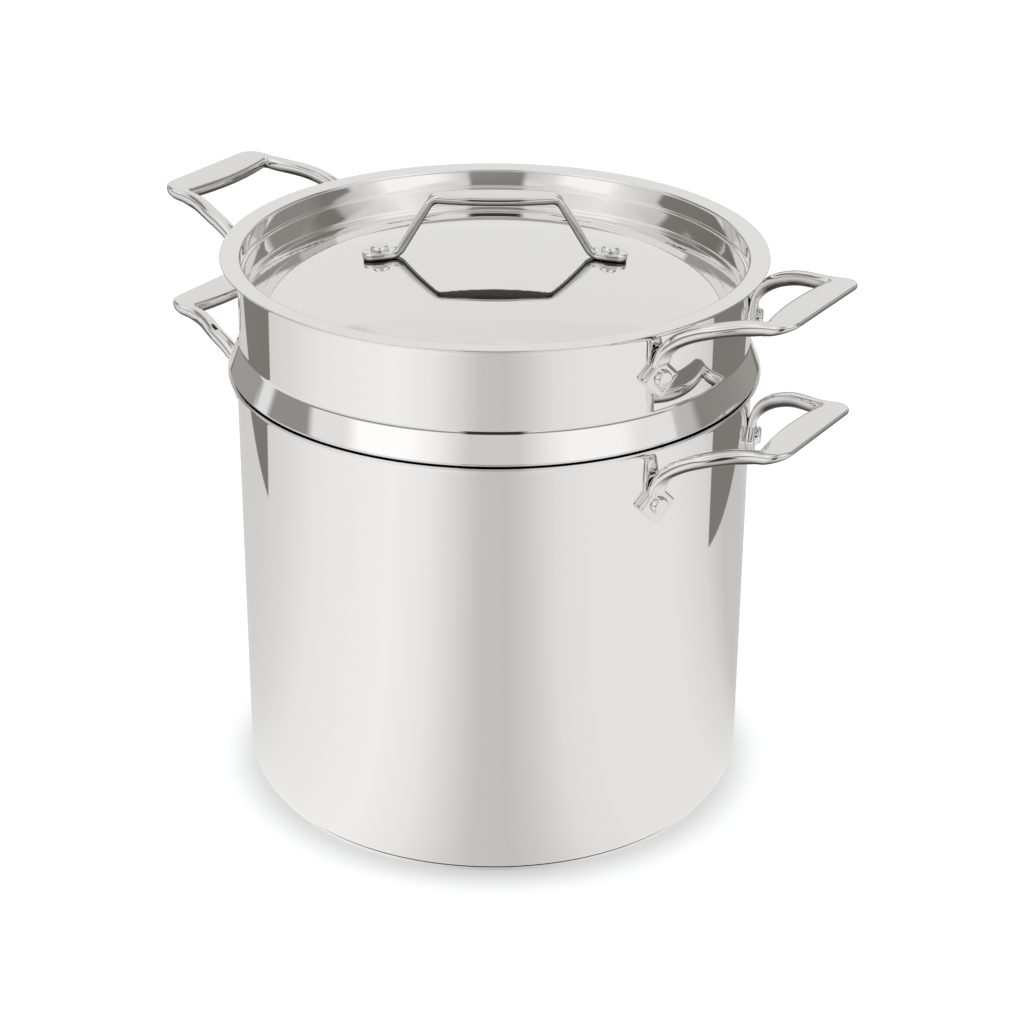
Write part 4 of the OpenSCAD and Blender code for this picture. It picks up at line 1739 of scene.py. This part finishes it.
        # Painted shadow: the floor's glow is weaker within a ring round the pot's foot and comes up past it.
        limits = (self.foot * MM, (self.foot + self.shade) * MM)
        past_painted_shadow = add(tree, RANGE, reach, *limits, interpolation_type="SMOOTHERSTEP")
        strength = add(tree, "MULTIPLY_ADD", past_painted_shadow, self.glow_past_shadow, 1.0)
        paper = add(tree, "ShaderNodeBsdfDiffuse", linear(self.paper))
        mirrored = add(tree, "ShaderNodeEmission", ground, DIMMED)
        glow = add(tree, "ShaderNodeEmission", linear(self.glow), strength)
        seen = add(tree, "ShaderNodeMixShader", self.glow_share, paper, glow)
        add(tree, "ShaderNodeOutputMaterial", self.by_ray(tree, paper, mirrored, seen))
        floor.data.materials.append(made)

    def build(self) -> None:
        """Builds the camera, the light and the stage."""
        self.camera()
        self.world()
        self.floor()
        bpy.context.scene.view_settings.view_transform = "Standard"


def main() -> None:
    """Builds the studio and the pot, and reports each piece."""
    logging.basicConfig(level=logging.INFO, format="%(name)s: %(message)s")
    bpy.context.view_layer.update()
    mirror, satin, cast, core = (finish.material() for finish in (MIRROR, SATIN, CAST, CORE))
    Studio().build()
    turner = Turner()
    pot_sizes, insert_sizes, lid_sizes = PotSizes(), InsertSizes(), LidSizes()
    pot = Pot(pot_sizes, turner, mirror, satin)
    insert = Insert(insert_sizes, pot_sizes, turner, mirror, satin)
    lid = Lid(lid_sizes, turner, mirror, satin)
    strap = LidHandle(lid_sizes, cast)
    pieces = [pot.shell(), pot.base(), insert.shell(), lid.shell(), strap.build()]
    handles = {
        Part.POT: SideHandleSizes(pot_sizes.radius, spread=96.0, rivet_z=198.0),
        Part.INSERT: SideHandleSizes(insert_sizes.radius, spread=92.0, rivet_z=262.3),
    }
    walls = {Part.POT: pot_sizes.wall, Part.INSERT: insert_sizes.wall}
    riveter = Riveter(cast)
    for part, sizes in handles.items():
        body = part.value
        for side in Side:
            word = side.name.lower()
            handle = SideHandle(sizes, f"{body}_grip_{word}", f"{body}_handle_{word}", side, part, cast)
            pieces.append(handle.build())
        places = riveter.side_places(body, sizes)
        pieces.append(riveter.set(f"{body}_rivets", part, places, sizes.pad_t, walls[part]))
    places = riveter.lid_places(lid_sizes)
    pieces.append(riveter.set("lid_rivets", Part.LID, places, strap.thick, lid_sizes.wall))
    core_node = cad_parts["base_core"]
    core_node.data.materials.clear()
    core_node.data.materials.append(core)
    for piece in pieces:
        log.info("%s: %d faces", piece.name, len(piece.data.polygons))


if __name__ == "__main__":
    main()
